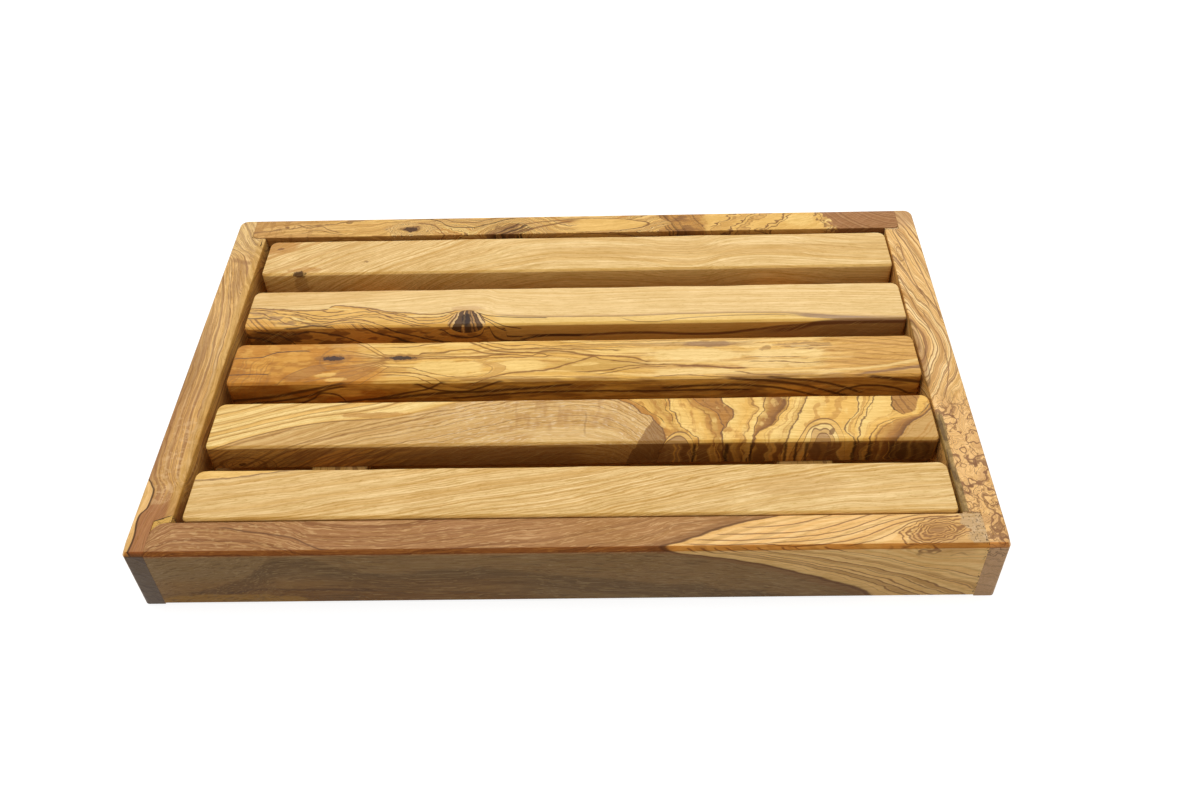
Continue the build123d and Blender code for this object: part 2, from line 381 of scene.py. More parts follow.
    def mix(self, base, tone, share, blend="MIX"):
        node = self.add("ShaderNodeMix")
        node.data_type = "RGBA"
        node.blend_type = blend
        self.feed(node.inputs[0], share)
        self.feed(node.inputs[6], base)
        self.feed(node.inputs[7], tone)
        return node.outputs[2]

    def coat(self, tone, share):
        """Lays a colour over what is there, as thick as share says at each point."""
        self.colour = self.mix(self.colour, tone, share)

    def stain(self, tone, share):
        """Multiplies what is there by a colour, as strongly as share says at each point."""
        self.colour = self.mix(self.colour, tone, share, "MULTIPLY")

    def shade(self, change):
        """Makes the colour darker or lighter. What is darker is also warmer."""
        level = self.joined(1.0 + change * 0.75, 1.0 + change, 1.0 + change * 1.7)
        self.colour = self.mix(self.colour, level, 1.0, "MULTIPLY")

    def finish(self, grain, fibre=0.36, gloss=0.50, relief=None, pore=0.5):
        """Lays on the fibres, streaks and pores that all the wood has, and closes the material."""
        fibres = self.grained(grain, 9.0, 0.6, 3.0, 3.0, 0.65)
        streaks = self.grained(grain, 60.0, 1.4, 2.0, 5.0)
        pores = self.grained(grain, 3.0, 0.42, 1.0, 7.0).rise(0.20, 0.45)
        cloud = self.noise((30.0, 18.0, 18.0), 2.0, 9.0)
        self.shade(fibres * fibre + streaks * (fibre * 0.7) + cloud * 0.14 - pores * (fibre * pore))
        bsdf = self.add("ShaderNodeBsdfPrincipled")
        self.feed(bsdf.inputs["Base Color"], self.colour)
        self.feed(bsdf.inputs["Roughness"], gloss + fibres * 0.12 + pores * 0.12)
        bsdf.inputs["Specular IOR Level"].default_value = 0.12
        bump = self.add("ShaderNodeBump")
        bump.inputs["Strength"].default_value = 0.4
        bump.inputs["Distance"].default_value = 0.14 * MM
        height = fibres * 0.6 - pores * 0.7
        if relief is not None:
            height = height + relief
        self.feed(bump.inputs["Height"], height)
        self.tree.links.new(bump.outputs[0], bsdf.inputs["Normal"])
        output = self.add("ShaderNodeOutputMaterial")
        self.tree.links.new(bsdf.outputs[0], output.inputs["Surface"])
        return self.material


def top_figure(node, base, seed=0.0, start=0.0):
    """A figure that runs along x, measured across from the board's top front arris, where it is start."""
    low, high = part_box(node)
    wood = Figure(node + "_wood", base, seed)
    wood.across = (wood.y - (low.y / MM - start)) + (wood.z - high.z / MM)
    wood.edge = (wood.y - low.y / MM) + (high.z / MM - wood.z)
    return wood


def contours(wood, field, seed=0.0, crisp=1.0):
    """Olive heartwood: bright wood between dark lines that are sharp on one side and fade on the other."""
    level = wood.rings(field, 1.0, seed, 1.0)
    line = 0.016 / crisp
    stops = [(-0.6, "straw")]
    for place, before, after in ((-0.20, "gold", "straw"), (-0.07, "amber", "straw"), (0.08, "amber", "gold"),
            (0.22, "gold", "straw")):
        stops += [(place - 2 * line, before), (place - line / 2, "brown")]
        stops += [(place + line / 2, "brown"), (place + 1.5 * line, after)]
    return wood.bands(level, *stops, (0.34, "tan"), (0.6, "amber"))


def saw_marks(wood, slope=0.62):
    """Fine slanting scratches that the saw left on the slats' upright faces."""
    slant = wood.along * slope - wood.z
    marks = wood.rings(slant, 0.9, 21.0, 2.0).rise(0.12, 0.36)
    faint = wood.noise((30.0, 9.0, 6.0), 1.0, 23.0).rise(-0.1, 0.25)
    return marks * faint


def painted_shade_and_oil_sides(wood, tone, share=1.0, scratches=0.45):
    """Darkens the upright faces with painted shade, partly the deeper oil of the sawn wood, shows the saw's
    scratches on them, and darkens the sloping chamfers with painted shade.
    """
    # Painted shade: the upright faces are darkened by the given tone, partly as the deeper oil of the sawn
    # wood.
    face = abs(wood.facing_z).rise(0.55, 0.25)
    wood.stain(tone, face * share)
    wood.coat("honey", saw_marks(wood) * face * scratches)
    # Painted shade: the sloping chamfer faces are darkened by their slope.
    band = wood.facing_z.within(0.55, 0.9, 0.1)
    wood.stain((0.95, 0.86, 0.60), band * 0.9)


def streaky(wood, grain, tone, share, width=0.9, seed=31.0):
    """Short broken lines along the grain."""
    streaks = wood.grained(grain, 17.0, width, 1.0, seed).rise(0.06, 0.30)
    wood.coat(tone, streaks * share)


def wood_slat_1():
    wood = top_figure("slat_1", "pale", 1.0, 0.3)
    lay = wood.path((-182, -64), (-140, -40), (-100, -17), (-60, 4), (-35, 13), (0, 18), (30, 17), (65, 12),
            (92, 18), (112, 20), (150, 16), (182, 13))
    grain = wood.across - lay + wood.noise((60, 16, 16)) * 4.0 + wood.noise((14, 3, 3)) * 0.3
    wood.coat_rings((0.66, 0.37, 0.09), 0.5, grain, 4.4, 1.0, 2.0, -0.05, 0.30)
    wood.coat_rings((0.60, 0.325, 0.085), 0.6, grain, 1.3, 4.0, 2.0, 0.06, 0.26)
    wood.coat_rings((0.92, 0.67, 0.32), 0.5, grain, 2.2, 11.0, 2.0, 0.05, 0.3)
    steep = wood.x.within(-135, -62, 12) * wood.rings(grain, 1.1, 15.0, 1.0).rise(0.02, 0.2)
    wood.coat((0.60, 0.33, 0.09), steep * 0.6)
    streaky(wood, grain, "tan", 0.4, 0.6)
    left = wood.x.rise(-95, -170)
    wood.coat("amber", left * wood.rings(grain, 3.0, 8.0, 2.0).rise(0.0, 0.30) * 0.55)
    wood.blot("amber", 0.75, -177, 26, 17, 8, 0.5, 6.0, 0.7)
    wood.blot("brown", 0.8, -171, 24, 2.2, 1.2, 0.7, 1.5, 0.5)
    wood.blot("amber", 0.6, -153, 4.0, 9, 2.6, 0.6, 3.0, 0.8)
    wood.blot("vein", 0.9, -156, 0.5, 3.8, 2.6, 0.7, 2.0)
    wood.blot("brown", 0.4, -156, -7.0, 4.0, 8.0, 0.7, 3.0)
    wood.blot("brown", 0.6, -119, 11, 1.5, 0.8, 0.8, 1.0)
    wood.coat("honey", wood.across.within(14, 20, 2.0) * wood.x.rise(-50, 10) * 0.35)
    wood.coat("tan", wood.across.within(14, 21, 2.0) * wood.x.rise(-40, 20) * wood.rings(grain, 1.3, 31.0,
            2.0).rise(-0.1, 0.25) * 0.5)
    # Upright faces and chamfers: painted shade, with the saw's scratches.
    painted_shade_and_oil_sides(wood, (0.80, 0.69, 0.46), 0.9)
    return wood.finish(grain, fibre=0.42)


def wood_slat_2():
    wood = top_figure("slat_2", (0.88, 0.61, 0.27), 2.0, 29.9)
    wobble = wood.noise((12, 5, 5), 2.0) * 0.9 + wood.noise((4, 2, 2), 2.0) * 0.5
    left = wood.x.rise(-58, -66)
    wood.waver = wobble * (left + 0.25)
    across = wood.across + wood.waver
    upper = wood.path((-182, 47), (-170, 46.2), (-160, 45.5), (-150, 44), (-143, 43.6), (-136, 44.6),
            (-132, 47.2), (-129, 48), (-120, 46.4), (-110, 45), (-100, 42.3), (-88, 40.5), (-80, 39.6),
            (-72, 39.8), (-66, 41), (-60, 42.6), (-55, 42.2), (-48, 39), (-36, 37.2), (-15, 35.7), (28, 35.4),
            (60, 36.4), (90, 36.7), (112, 36.2), (128, 34.9), (145, 32.8), (182, 30.6))
    grain = wood.across - wood.path((-182, 36), (-100, 42), (-62, 46), (-54, 47), (-40, 43), (0, 41),
            (100, 41.4), (182, 38)) + wood.noise((60, 14, 14)) * 2.5
    wood.coat_rings((0.78, 0.49, 0.17), 0.5, grain, 3.2, 1.0, 2.0, -0.02, 0.32)
    wood.coat_rings((0.70, 0.42, 0.14), 0.5, grain, 1.1, 4.0, 1.0, 0.10, 0.30)
    cloudy = wood.across - wood.path((-182, 48.6), (-160, 48), (-140, 49), (-120, 52), (-100, 53.6),
            (-60, 57), (182, 64))
    wood.coat((0.74, 0.45, 0.16), cloudy.rise(-0.3, 1.2) * wood.x.rise(-70, -130) * 0.6)
    wood.coat("tan", cloudy.line(0.0, 0.6) * wood.x.rise(-90, -120) * 0.7)
    wood.coat((0.56, 0.35, 0.17), (across - upper).within(-0.4, 0.6, 1.3) * wood.x.rise(-50, -30) * 0.65)
    inside = (across - upper).rise(0.3, -0.3)
    wood.coat((0.84, 0.50, 0.14), inside)
    streaks = wood.rings(across - upper * 0.7 + wood.noise((16, 5, 5), 2.0, 40.0) * 1.6, 1.5, 41.0, 2.0)
    wood.coat((0.70, 0.38, 0.11), inside * left * streaks.rise(0.0, 0.25) * 0.7)
    brown, vein = (0.25, 0.12, 0.055), (0.12, 0.065, 0.04)
    murk = wood.noise((7, 2.6, 2.6), 2.0, 43.0).rise(-0.12, 0.12)
    wood.coat((0.42, 0.24, 0.105), inside * murk * wood.spot(-158, 35.5, 15, 4.2, 0.6, 6.0, -1.6) * 0.85)
    wood.coat((0.50, 0.29, 0.12), inside * wood.spot(-172, 43, 10, 3.5, 0.7, 5.0, -1.0) * murk * 0.7)
    orange = wood.spot(-171, 32, 10, 6.0, 0.4, 6.0, -0.6) + wood.spot(-121, 29, 15, 3.4, 0.5, 6.0)
    wood.coat((0.76, 0.40, 0.10), inside * orange.least(1.0) * 0.85)
    wood.coat(brown, inside * orange.least(1.0) * wood.rings(wood.x + wood.across * 0.8 + wobble, 3.4, 44.0,
            1.0).line(0.0, 0.08) * 0.75)
    wood.coat(brown, (across - upper).line(-0.15, 0.75) * left * 0.9)
    wood.strokes(brown, [
        (0.6, (-178, 45), (-168, 44), (-160, 41.6), (-150, 39.4), (-144, 37), (-138, 34.8), (-132, 34.2),
         (-124, 36), (-116, 37.4), (-108, 37.6), (-100, 35.4), (-92, 32.4), (-86, 30)),
        (0.55, (-160, 44.6), (-150, 42), (-143, 40.2), (-135, 38.8), (-128, 40), (-120, 41.4), (-110, 42.4),
         (-100, 41), (-94, 40), (-89, 38), (-85, 35.4), (-80, 34), (-74, 34.4), (-68, 36.8), (-63, 40.5)),
        (0.55, (-152, 41), (-143, 38.2), (-136, 36.4), (-128, 36.6), (-118, 38.6), (-108, 39.6), (-100, 38),
         (-92, 36.4), (-86, 33), (-79, 31.6), (-72, 32), (-67, 34.6), (-64, 38)),
        (0.6, (-155, 38), (-148, 34.6), (-141, 32.8), (-134, 33), (-127, 34.6), (-118, 35.4), (-110, 34),
         (-104, 31), (-98, 27)),
        (0.5, (-146, 33), (-137, 31.4), (-129, 32.4), (-120, 33.6), (-113, 32.6), (-107, 29.4), (-102, 25)),
        (0.5, (-178, 42.6), (-170, 42), (-165, 39), (-160, 36.6), (-154, 33), (-149, 31.4)),
        (0.5, (-98, 40.2), (-92, 38.2), (-87, 36.8), (-80, 36.4), (-73, 37), (-66, 39.6)),
        (0.5, (-112, 44.2), (-104, 40.4), (-98, 36.8), (-92, 34.2), (-84, 30.6), (-78, 29.4)),
    ], share=0.9, fade=3.0)
    wood.stroke(vein, 1.1, (-154, 29), (-146, 30), (-138, 31.4), (-131, 30), fade=3.0)
    wood.stroke(vein, 0.8, (-177, 38), (-170, 38.4), (-165, 37), share=0.8, fade=2.0)
    wood.stroke(brown, 0.8, (-136, 43.2), (-131, 42.2), (-126, 43.4), fade=2.0)
    wood.stroke((0.93, 0.67, 0.27), 0.8, (-152, 37.6), (-147, 35.6), (-142, 34.4), share=0.9, fade=1.5)
    wood.stroke((0.93, 0.67, 0.27), 1.0, (-88, 38), (-80, 37.8), (-72, 38.2), (-68, 39.4), share=0.8,
            fade=3.0)
    wood.stroke((0.93, 0.67, 0.27), 0.7, (-134, 45.6), (-128, 45.4), (-122, 44.4), share=0.8, fade=2.0)
    wood.coat((0.90, 0.61, 0.215), inside * wood.x.rise(-46, -36) * 0.9)
    lower = wood.path((-182, 20), (20, 36.4), (26, 34.8), (33, 31.7), (42, 30.4), (52, 31.4), (61, 33),
            (78, 34.2), (104, 35), (124, 33.2), (135, 29.7), (182, 26))
    wood.coat((0.42, 0.25, 0.11), (across - upper).line(0.0, 0.55) * wood.x.rise(-46, -36) * 0.8)
    wood.coat((0.42, 0.25, 0.11), (across - lower).line(0.0, 0.6) * wood.x.rise(24, 32) * wood.x.rise(132,
            110) * 0.85)
    thick = wood.path((-182, 0), (112, 0.2), (124, 0.7), (136, 1.5), (148, 1.5), (162, 0.8), (182, 0.5))
    wedge = abs(across - wood.path((-182, 36), (112, 35.6), (124, 34.2), (136, 32.8), (148, 31.4),
            (162, 30.6), (182, 29.8)))
    wood.coat((0.38, 0.24, 0.15), (wedge - thick).rise(0.5, -0.3) * wood.x.rise(112, 128) * 0.85)
    under = wood.across - wood.path((-182, 8), (118, 25), (128, 27.5), (136, 29.4), (150, 30.2), (182, 29.5))
    wood.coat((0.46, 0.30, 0.15), under.rise(0.5, -0.5) * wood.x.rise(84, 112) * 0.85)
    wood.coat(brown, under.line(-1.4, 2.6) * wood.x.rise(100, 118) * 0.92)
    wood.coat(brown, (wood.across - wood.path((-182, -2), (-45, 12), (-25, 21.4), (0, 21), (35, 22.2),
            (72, 20.6), (100, 23.2), (120, 25.8), (182, 28))).line(0.5, 1.5) * wood.x.rise(-30, -18) * 0.9)
    front = wood.across.rise(28.5, 26.5)
    wood.coat((0.92, 0.50, 0.12), front * wood.x.rise(-28, -60) * 0.75)
    wood.coat((0.34, 0.15, 0.045), front * wood.x.rise(-28, -60) * wood.noise((11, 4, 4), 2.0, 45.0).rise(0.0,
            0.16) * 0.8)
    wood.coat((0.16, 0.07, 0.025), front * wood.spot(-164, 21, 14, 9, 0.8, 6.0) * 0.75)
    wood.strokes(vein, [
        (1.1, (-112, 28.4), (-106, 25), (-98, 22.4), (-92, 19.5), (-84, 16.5)),
        (0.9, (-100, 28), (-92, 24.5), (-82, 21.5), (-74, 19), (-66, 17.5)),
        (0.9, (-70, 27), (-64, 22.5), (-56, 21), (-50, 22.5), (-47, 27)),
        (1.6, (-44, 28), (-43, 24), (-41, 20.5), (-36, 18), (-26, 17.5)),
        (0.9, (-36, 27), (-38, 24), (-35, 21.5), (-28, 21)),
        (1.2, (-26, 19), (-18, 21), (-8, 22), (4, 21.4)),
        (1.3, (-178, 24), (-170, 22), (-163, 18), (-158, 15)),
        (1.0, (-172, 27), (-164, 25.5), (-156, 22), (-151, 16)),
        (0.9, (-150, 25), (-142, 27), (-132, 25), (-124, 22), (-114, 17)),
    ], fade=3.0)
    wood.strokes(vein, [
        (0.6, (-53, 40.6), (-48, 36.6), (-44, 34), (-40, 31.2), (-35, 28.6), (-28, 27)),
        (0.6, (-51, 37.4), (-47, 34.4), (-43, 31.2), (-40, 28), (-36, 25.6)),
        (0.5, (-50, 39.4), (-44, 37.2), (-36, 36.2), (-26, 35.4), (-14, 35)),
    ], share=0.9, fade=2.0)
    wood.blot((0.62, 0.37, 0.16), 0.6, -57, 43.6, 9, 2.4, 0.4, 4.0)
    dome = wood.oval(-56.5, 29.5, 10.2, 12.8) + wobble * 0.05
    cup = wood.oval(-56.5, 29.5, 9.4, 5.4) + wobble * 0.06
    shell = dome.rise(1.04, 0.97) * wood.across.rise(29.0, 30.0).most(cup.rise(1.04, 0.95))
    wood.coat((0.10, 0.055, 0.035), shell * 0.96)
    fan = (wood.x + 57.5 + wobble * 1.2) / ((46.0 - wood.across).most(2.0) * 0.45 + 2.6)
    slivers = wood.rings(fan, 0.22, 3.0, 1.0).rise(0.0, 0.12) * wood.noise((5, 6, 6), 2.0, 61.0).rise(-0.34,
            -0.1)
    wood.coat((0.52, 0.28, 0.10), shell * slivers * 0.85)
    wood.coat((0.84, 0.55, 0.24), shell * wood.rings(fan, 0.3, 8.0, 1.0).rise(0.16, 0.24) * 0.85)
    wood.blot((0.045, 0.03, 0.025), 0.85, -57, 34.5, 2.4, 5.5, 0.5, 3.0)
    # Upright faces and chamfers: painted shade, with the saw's scratches.
    painted_shade_and_oil_sides(wood, (0.64, 0.44, 0.20), 0.9)
    return wood.finish(grain)


def wood_slat_3():
    wood = top_figure("slat_3", (0.84, 0.51, 0.15), 3.0, -14.1)
    wobble = wood.noise((26, 7, 7), 2.0) * 1.5 + wood.noise((6, 2.2, 2.2), 2.0) * 0.7
    wood.waver = wobble
    across = wood.across + wobble
    brown, dull, straw = (0.27, 0.12, 0.04), (0.44, 0.24, 0.09), (0.94, 0.655, 0.262)
    lay = wood.path((-182, 0), (-60, 0), (-20, 3), (0, 2), (40, -1), (90, -1), (140, 1), (182, 5))
    grain = across - lay + wood.noise((50, 9, 9), 2.0, 40.0) * 2.4
    wood.coat_rings(straw, 0.75, grain, 4.2, 30.0, 2.0, -0.05, 0.2)
    wood.coat_rings((0.62, 0.34, 0.10), 0.75, grain, 2.6, 33.0, 2.0, 0.06, 0.26)
    wood.coat_rings((0.50, 0.26, 0.085), 0.7, grain, 1.2, 36.0, 2.0, 0.16, 0.3)
    for place, half_length, half_width, share in (((-64, -3.6), 22, 5.4, 0.9), ((-24, -2.4), 15, 4.4, 0.9),
            ((28, 7.4), 22, 2.2, 0.8), ((66, 3.2), 27, 5.0, 0.9), ((112, 3.6), 26, 3.6, 0.85),
            ((108, -4.0), 26, 3.4, 0.7), ((64, -9.2), 24, 2.6, 0.75), ((-86, 10), 16, 3.0, 0.6),
            ((-60, 12.4), 10, 2.0, 0.6), ((98, 10), 11, 1.8, 0.6)):
        wood.coat(straw, wood.spot(*place, half_length, half_width, 0.6, 9.0) * share)
    olive = wood.spot(14, -3.4, 25, 5.6, 0.4, 9.0) * wood.x.rise(40, 34)
    wood.coat((0.68, 0.415, 0.125), olive * 0.85)
    wood.blot(straw, 0.8, 8.5, -2.6, 6.0, 1.3, 0.4, 4.0, 2.2)
    strands = wood.rings(across + wood.noise((30, 6, 6)) * 2.0, 1.2, 34.0, 2.0)
    band = wood.across.within(10, 14.4, 0.8) * wood.x.rise(-14, 4)
    wood.coat(dull, band * wood.x.rise(104, 88) * strands.rise(-0.16, 0.14) * 0.8)
    wood.blot((0.36, 0.20, 0.10), 0.8, 73, 11.4, 14, 2.4, 0.7, 6.0)
    wood.coat(dull, wood.spot(124, 9.6, 15, 2.8, 0.7, 5.0, -1.5) * strands.rise(-0.3, 0.06) * 0.9)
    wood.blot((0.80, 0.55, 0.24), 0.7, 121, 9.2, 5, 0.9, 0.5, 4.0)
    wood.blot(dull, 0.7, 103, 7.8, 3.2, 2.0, 0.8, 2.6, 0.6)
    wood.coat(dull, wood.across.rise(-10.5, -12.5) * wood.noise((22, 4, 4), 2.0, 38.0).rise(-0.15, 0.15) *
            wood.x.rise(-80, -60) * 0.75)
    wood.strokes(brown, [
        (0.5, (-93, 12.3), (-84, 12.4), (-78, 13.6), (-68, 15)),
        (0.8, (-80, 6.4), (-76, 8.2), (-70, 8), (-62, 8.8), (-55, 9.6), (-49, 8.4), (-42, 6.4), (-34, 5.6)),
        (0.75, (-84, 4.6), (-70, 4.9), (-58, 4.4), (-48, 3.9), (-40, 5), (-30, 5.4), (-21, 4.2), (-16, 6.2),
         (-12, 4.8)),
        (0.5, (-80, 3), (-64, 3.4), (-50, 2.9), (-38, 3.4), (-24, 3), (-14, 3.2), (-11, 4.4)),
        (1.0, (-54, 15.4), (-48, 12.6), (-44, 10.2), (-39, 8.6), (-32, 7.6), (-20, 7.2), (-11, 8.4), (0, 6.8),
         (8, 4.6), (18, 3.7), (28, 3.1), (35, 1.8), (40, -0.6)),
        (0.6, (-50, 15.6), (-44, 13.2), (-37, 10.6), (-28, 9.8), (-14, 10.6), (-4, 9.8), (10, 8.6),
         (24, 8.2)),
        (0.5, (-46, 16), (-38, 13.8), (-29, 12.8), (-20, 13.4), (-12, 12), (0, 12.4)),
        (0.9, (-49, -16), (-42, -12.4), (-35, -9.6), (-30, -8.3), (-20, -7.4), (-10, -6), (-2, -3.4),
         (4, -0.6), (12, 3.2)),
        (0.6, (12, 3.6), (17, 1.4), (24, -0.2), (31, -1.2), (40, -2.9)),
        (0.7, (6, -8.6), (20, -7.6), (27, -5.6), (36, -4), (48, -3.4), (60, -4.4), (74, -5.6), (88, -6.6)),
        (1.0, (58, -5), (68, -5.4), (78, -6.2), (90, -7)),
        (0.5, (16, -10.4), (26, -8.2), (36, -6), (48, -4.9)),
        (0.6, (-98, -8.5), (-88, -8.9), (-81, -10.2), (-75, -13.4), (-71, -16)),
        (0.6, (-98, -6.4), (-86, -7), (-78, -8.4), (-71, -11), (-65, -16)),
        (0.5, (-96, -2.2), (-84, -3.2), (-76, -6), (-66, -9.2), (-56, -11.2), (-48, -10.4)),
        (0.5, (46, -12), (60, -11.8), (72, -12.8), (88, -14.6)),
        (0.5, (92, 1), (104, 0.8), (118, 0.9)),
        (0.5, (96, -2.2), (112, -2.8), (128, -3.5), (144, -2.9)),
        (0.7, (88, -9.6), (96, -11.8), (108, -13)),
        (0.6, (144, -3.6), (154, -4.6), (163, -5.2), (172, -4.4)),
        (0.5, (148, -5.4), (156, -6.4), (164, -5.4)),
        (0.8, (158, 5.4), (166, 3.6), (173, 0.6), (179, -1.4)),
    ], fade=4.0)
    tip = wood.curve(wood.across, ((-15, -53), (-11, -45.5), (-8, -41.5), (-5, -40), (-2, -43), (0, -48),
            (1.5, -55)))
    rim = wood.curve(wood.across, ((-13, -44), (-9, -37.5), (-6, -33.5), (-4, -33), (-2, -36), (0, -41),
            (1.4, -50)))
    for edge, half in ((tip, 0.8), (rim, 0.55)):
        wood.coat((0.52, 0.29, 0.10), (wood.x - edge + wobble).line(0.0, half) * wood.across.within(-13, 1.4,
                1.0) * 0.8)
    wood.coat((0.66, 0.38, 0.12), (wood.x - tip + wobble).rise(0.5, 1.5) * (wood.x - rim + wobble).rise(0.5,
            -0.5) * wood.across.within(-11, 0.5, 1.0) * 0.8)
    warm = (wood.x + wood.noise((16, 9, 9), 2.0, 70.0) * 20.0 + wood.across * 0.9).rise(-96, -120)
    wood.coat((0.575, 0.24, 0.038), warm * 0.95)
    wood.coat((0.71, 0.345, 0.065), warm * wood.spot(-150, 1, 17, 8.5, 0.6, 9.0) * 0.75)
    wood.coat((0.42, 0.165, 0.03), warm * wood.noise((14, 8, 8), 2.0, 71.0).rise(0.0, 0.26) * 0.65)
    wood.coat((0.75, 0.39, 0.085), warm * wood.noise((7, 3, 3), 2.0, 72.0).rise(0.1, 0.3) * 0.6)
    ripple = wood.rings(wood.x - wood.across * 0.25 + wood.noise((9, 12, 12)) * 5.0, 1.8, 7.0).rise(0.0, 0.25)
    wood.coat((0.42, 0.18, 0.045), warm * ripple * wood.x.within(-176, -158, 5) * wood.across.rise(9, 0) *
            0.6)
    wood.waver = wobble * 0.5
    amber = (0.36, 0.165, 0.05)
    wood.strokes(amber, [
        (0.8, (-114, 16), (-107, 11.6), (-101, 7.2), (-96, 4.6)),
        (0.6, (-109, 16), (-103, 11), (-98, 7)),
        (0.5, (-120, 10.8), (-110, 8.2), (-100, 5)),
        (0.5, (-117, 7), (-108, 5.8), (-99, 4.2)),
        (0.6, (-119, 1.8), (-110, 2), (-98, 3)),
        (0.6, (-124, -2.6), (-112, -1), (-104, 1), (-97, 2.6)),
        (0.7, (-130, -5), (-120, -3.4), (-110, -1.6), (-98, 2)),
        (0.7, (-128, -9.6), (-118, -6.4), (-108, -3), (-98, 1)),
        (0.7, (-124, -13.6), (-114, -9), (-105, -4.4), (-97, 0.4)),
        (0.6, (-114, -14.6), (-106, -8.6), (-98, -1.6)),
        (0.6, (-108, -15.6), (-101, -9), (-95, -3)),
        (0.6, (-136, -12.6), (-128, -10.6), (-120, -9), (-114, -8)),
        (0.9, (-151, -14.6), (-147, -9), (-142, -5), (-135, -1.8), (-128, -0.4), (-120, 1.2)),
    ], share=0.8, fade=3.0)
    wood.blot((0.46, 0.215, 0.06), 0.55, -111, -6.4, 10, 6.5, 0.5, 4.0, 1.0)
    wood.blot((0.46, 0.215, 0.06), 0.7, -137, -6.5, 7, 6.0, 0.5, 5.0, 1.2)
    for place in ((-127, -8.2), (-121, -11.6)):
        wood.blot((0.84, 0.50, 0.14), 0.85, *place, 5.2, 1.6, 0.5, 3.0, 1.0)
    rim = wood.oval(-119, 3.7, 12.5, 10) + wobble * 0.04
    wood.coat(amber, rim.line(1.0, 0.07) * wood.x.rise(-122, -128) * 0.6)
    for points in (((-180, 4.8), (-172, 5.8), (-164, 6), (-160, 7.4), (-155, 9.7), (-148, 10.4),
            (-139, 10.6)), ((-180, -7.2), (-168, -7), (-158, -7.2))):
        wood.stroke((0.09, 0.06, 0.045), 0.55, *points, fade=2.0)
    for place, half_length, half_width in (((-124.8, 4.5), 5.6, 1.9), ((-88.8, 4.1), 7.4, 1.6)):
        wood.blot(amber, 0.65, *place, half_length + 4, half_width + 1.6, 0.5, 3.0)
        wood.blot((0.07, 0.045, 0.04), 0.95, *place, half_length, half_width, 0.7, 2.0)
    dusk = (wood.x + wood.noise((22, 7, 7), 2.0, 80.0) * 30.0).rise(132, 150)
    wood.coat((0.72, 0.39, 0.105), dusk * 0.8)
    late = wood.rings(across + wood.x * 0.12, 1.7, 14.0, 2.0)
    wood.coat((0.48, 0.235, 0.065), dusk * late.rise(0.02, 0.26) * 0.75)
    wood.coat(straw, (across - wood.path((-182, -15), (120, -12), (140, -9.5), (160, -7.4),
            (182, -3))).line(0.0, 1.5) * wood.x.rise(122, 140) * 0.8)
    wood.coat((0.30, 0.16, 0.09), (across - wood.path((-182, -15), (140, -14.6), (152, -12.4), (166, -10.4),
            (182, -7.4))).line(0.0, 1.5) * wood.x.rise(142, 154) * 0.8)
    wood.stain((0.97, 0.92, 0.74), wood.x.within(-90, 20, 30) * 0.9)
    front = wood.across.rise(-14.5, -16.5)
    wood.coat((1.0, 0.62, 0.18), front * wood.noise((24, 6, 6), 2.0, 81.0).rise(-0.1, 0.2) * 0.85)
    wood.coat((0.38, 0.16, 0.04), front * wood.noise((18, 3.4, 3.4), 2.0, 82.0).rise(0.05, 0.25) * 0.5)
    wood.coat((0.42, 0.18, 0.042), front * wood.x.rise(-126, -150) * 0.55)
    wood.strokes((0.12, 0.05, 0.018), [
        (1.65, (-176, -26), (-158, -24), (-142, -20.5), (-128, -17.5), (-118, -14.5)),
        (1.21, (-166, -28.4), (-150, -26.4), (-136, -23), (-126, -19), (-118, -17)),
        (1.1, (-140, -28), (-134, -25), (-128, -21.5), (-122, -22.5), (-118, -26), (-117, -29)),
        (1.1, (-120, -28), (-100, -25.4), (-84, -22), (-74, -19.4), (-66, -15)),
        (1.43, (-104, -26.6), (-84, -24.6), (-68, -22.6), (-50, -22), (-30, -20.6), (0, -17.6)),
        (1.1, (-78, -16), (-70, -19.6), (-58, -21.6), (-46, -18.8), (-36, -14.8)),
        (1.1, (-60, -26.4), (-40, -24.4), (-20, -23), (10, -22.4), (40, -23), (70, -22.4), (92, -23)),
        (1.32, (50, -20.6), (80, -19), (100, -20.6), (116, -24), (128, -28)),
        (1.32, (84, -15), (104, -17), (122, -20.6), (134, -25), (142, -28)),
        (1.32, (104, -14.4), (126, -17.6), (140, -21.6), (150, -26)),
        (1.1, (138, -27), (146, -22.6), (156, -21), (166, -22.6), (176, -27)),
        (1.76, (156, -14.6), (168, -17), (180, -19)),
    ], fade=4.0)
    # Upright faces and chamfers: painted shade, with the saw's scratches.
    painted_shade_and_oil_sides(wood, (0.74, 0.53, 0.20), 0.9)
    return wood.finish(grain)


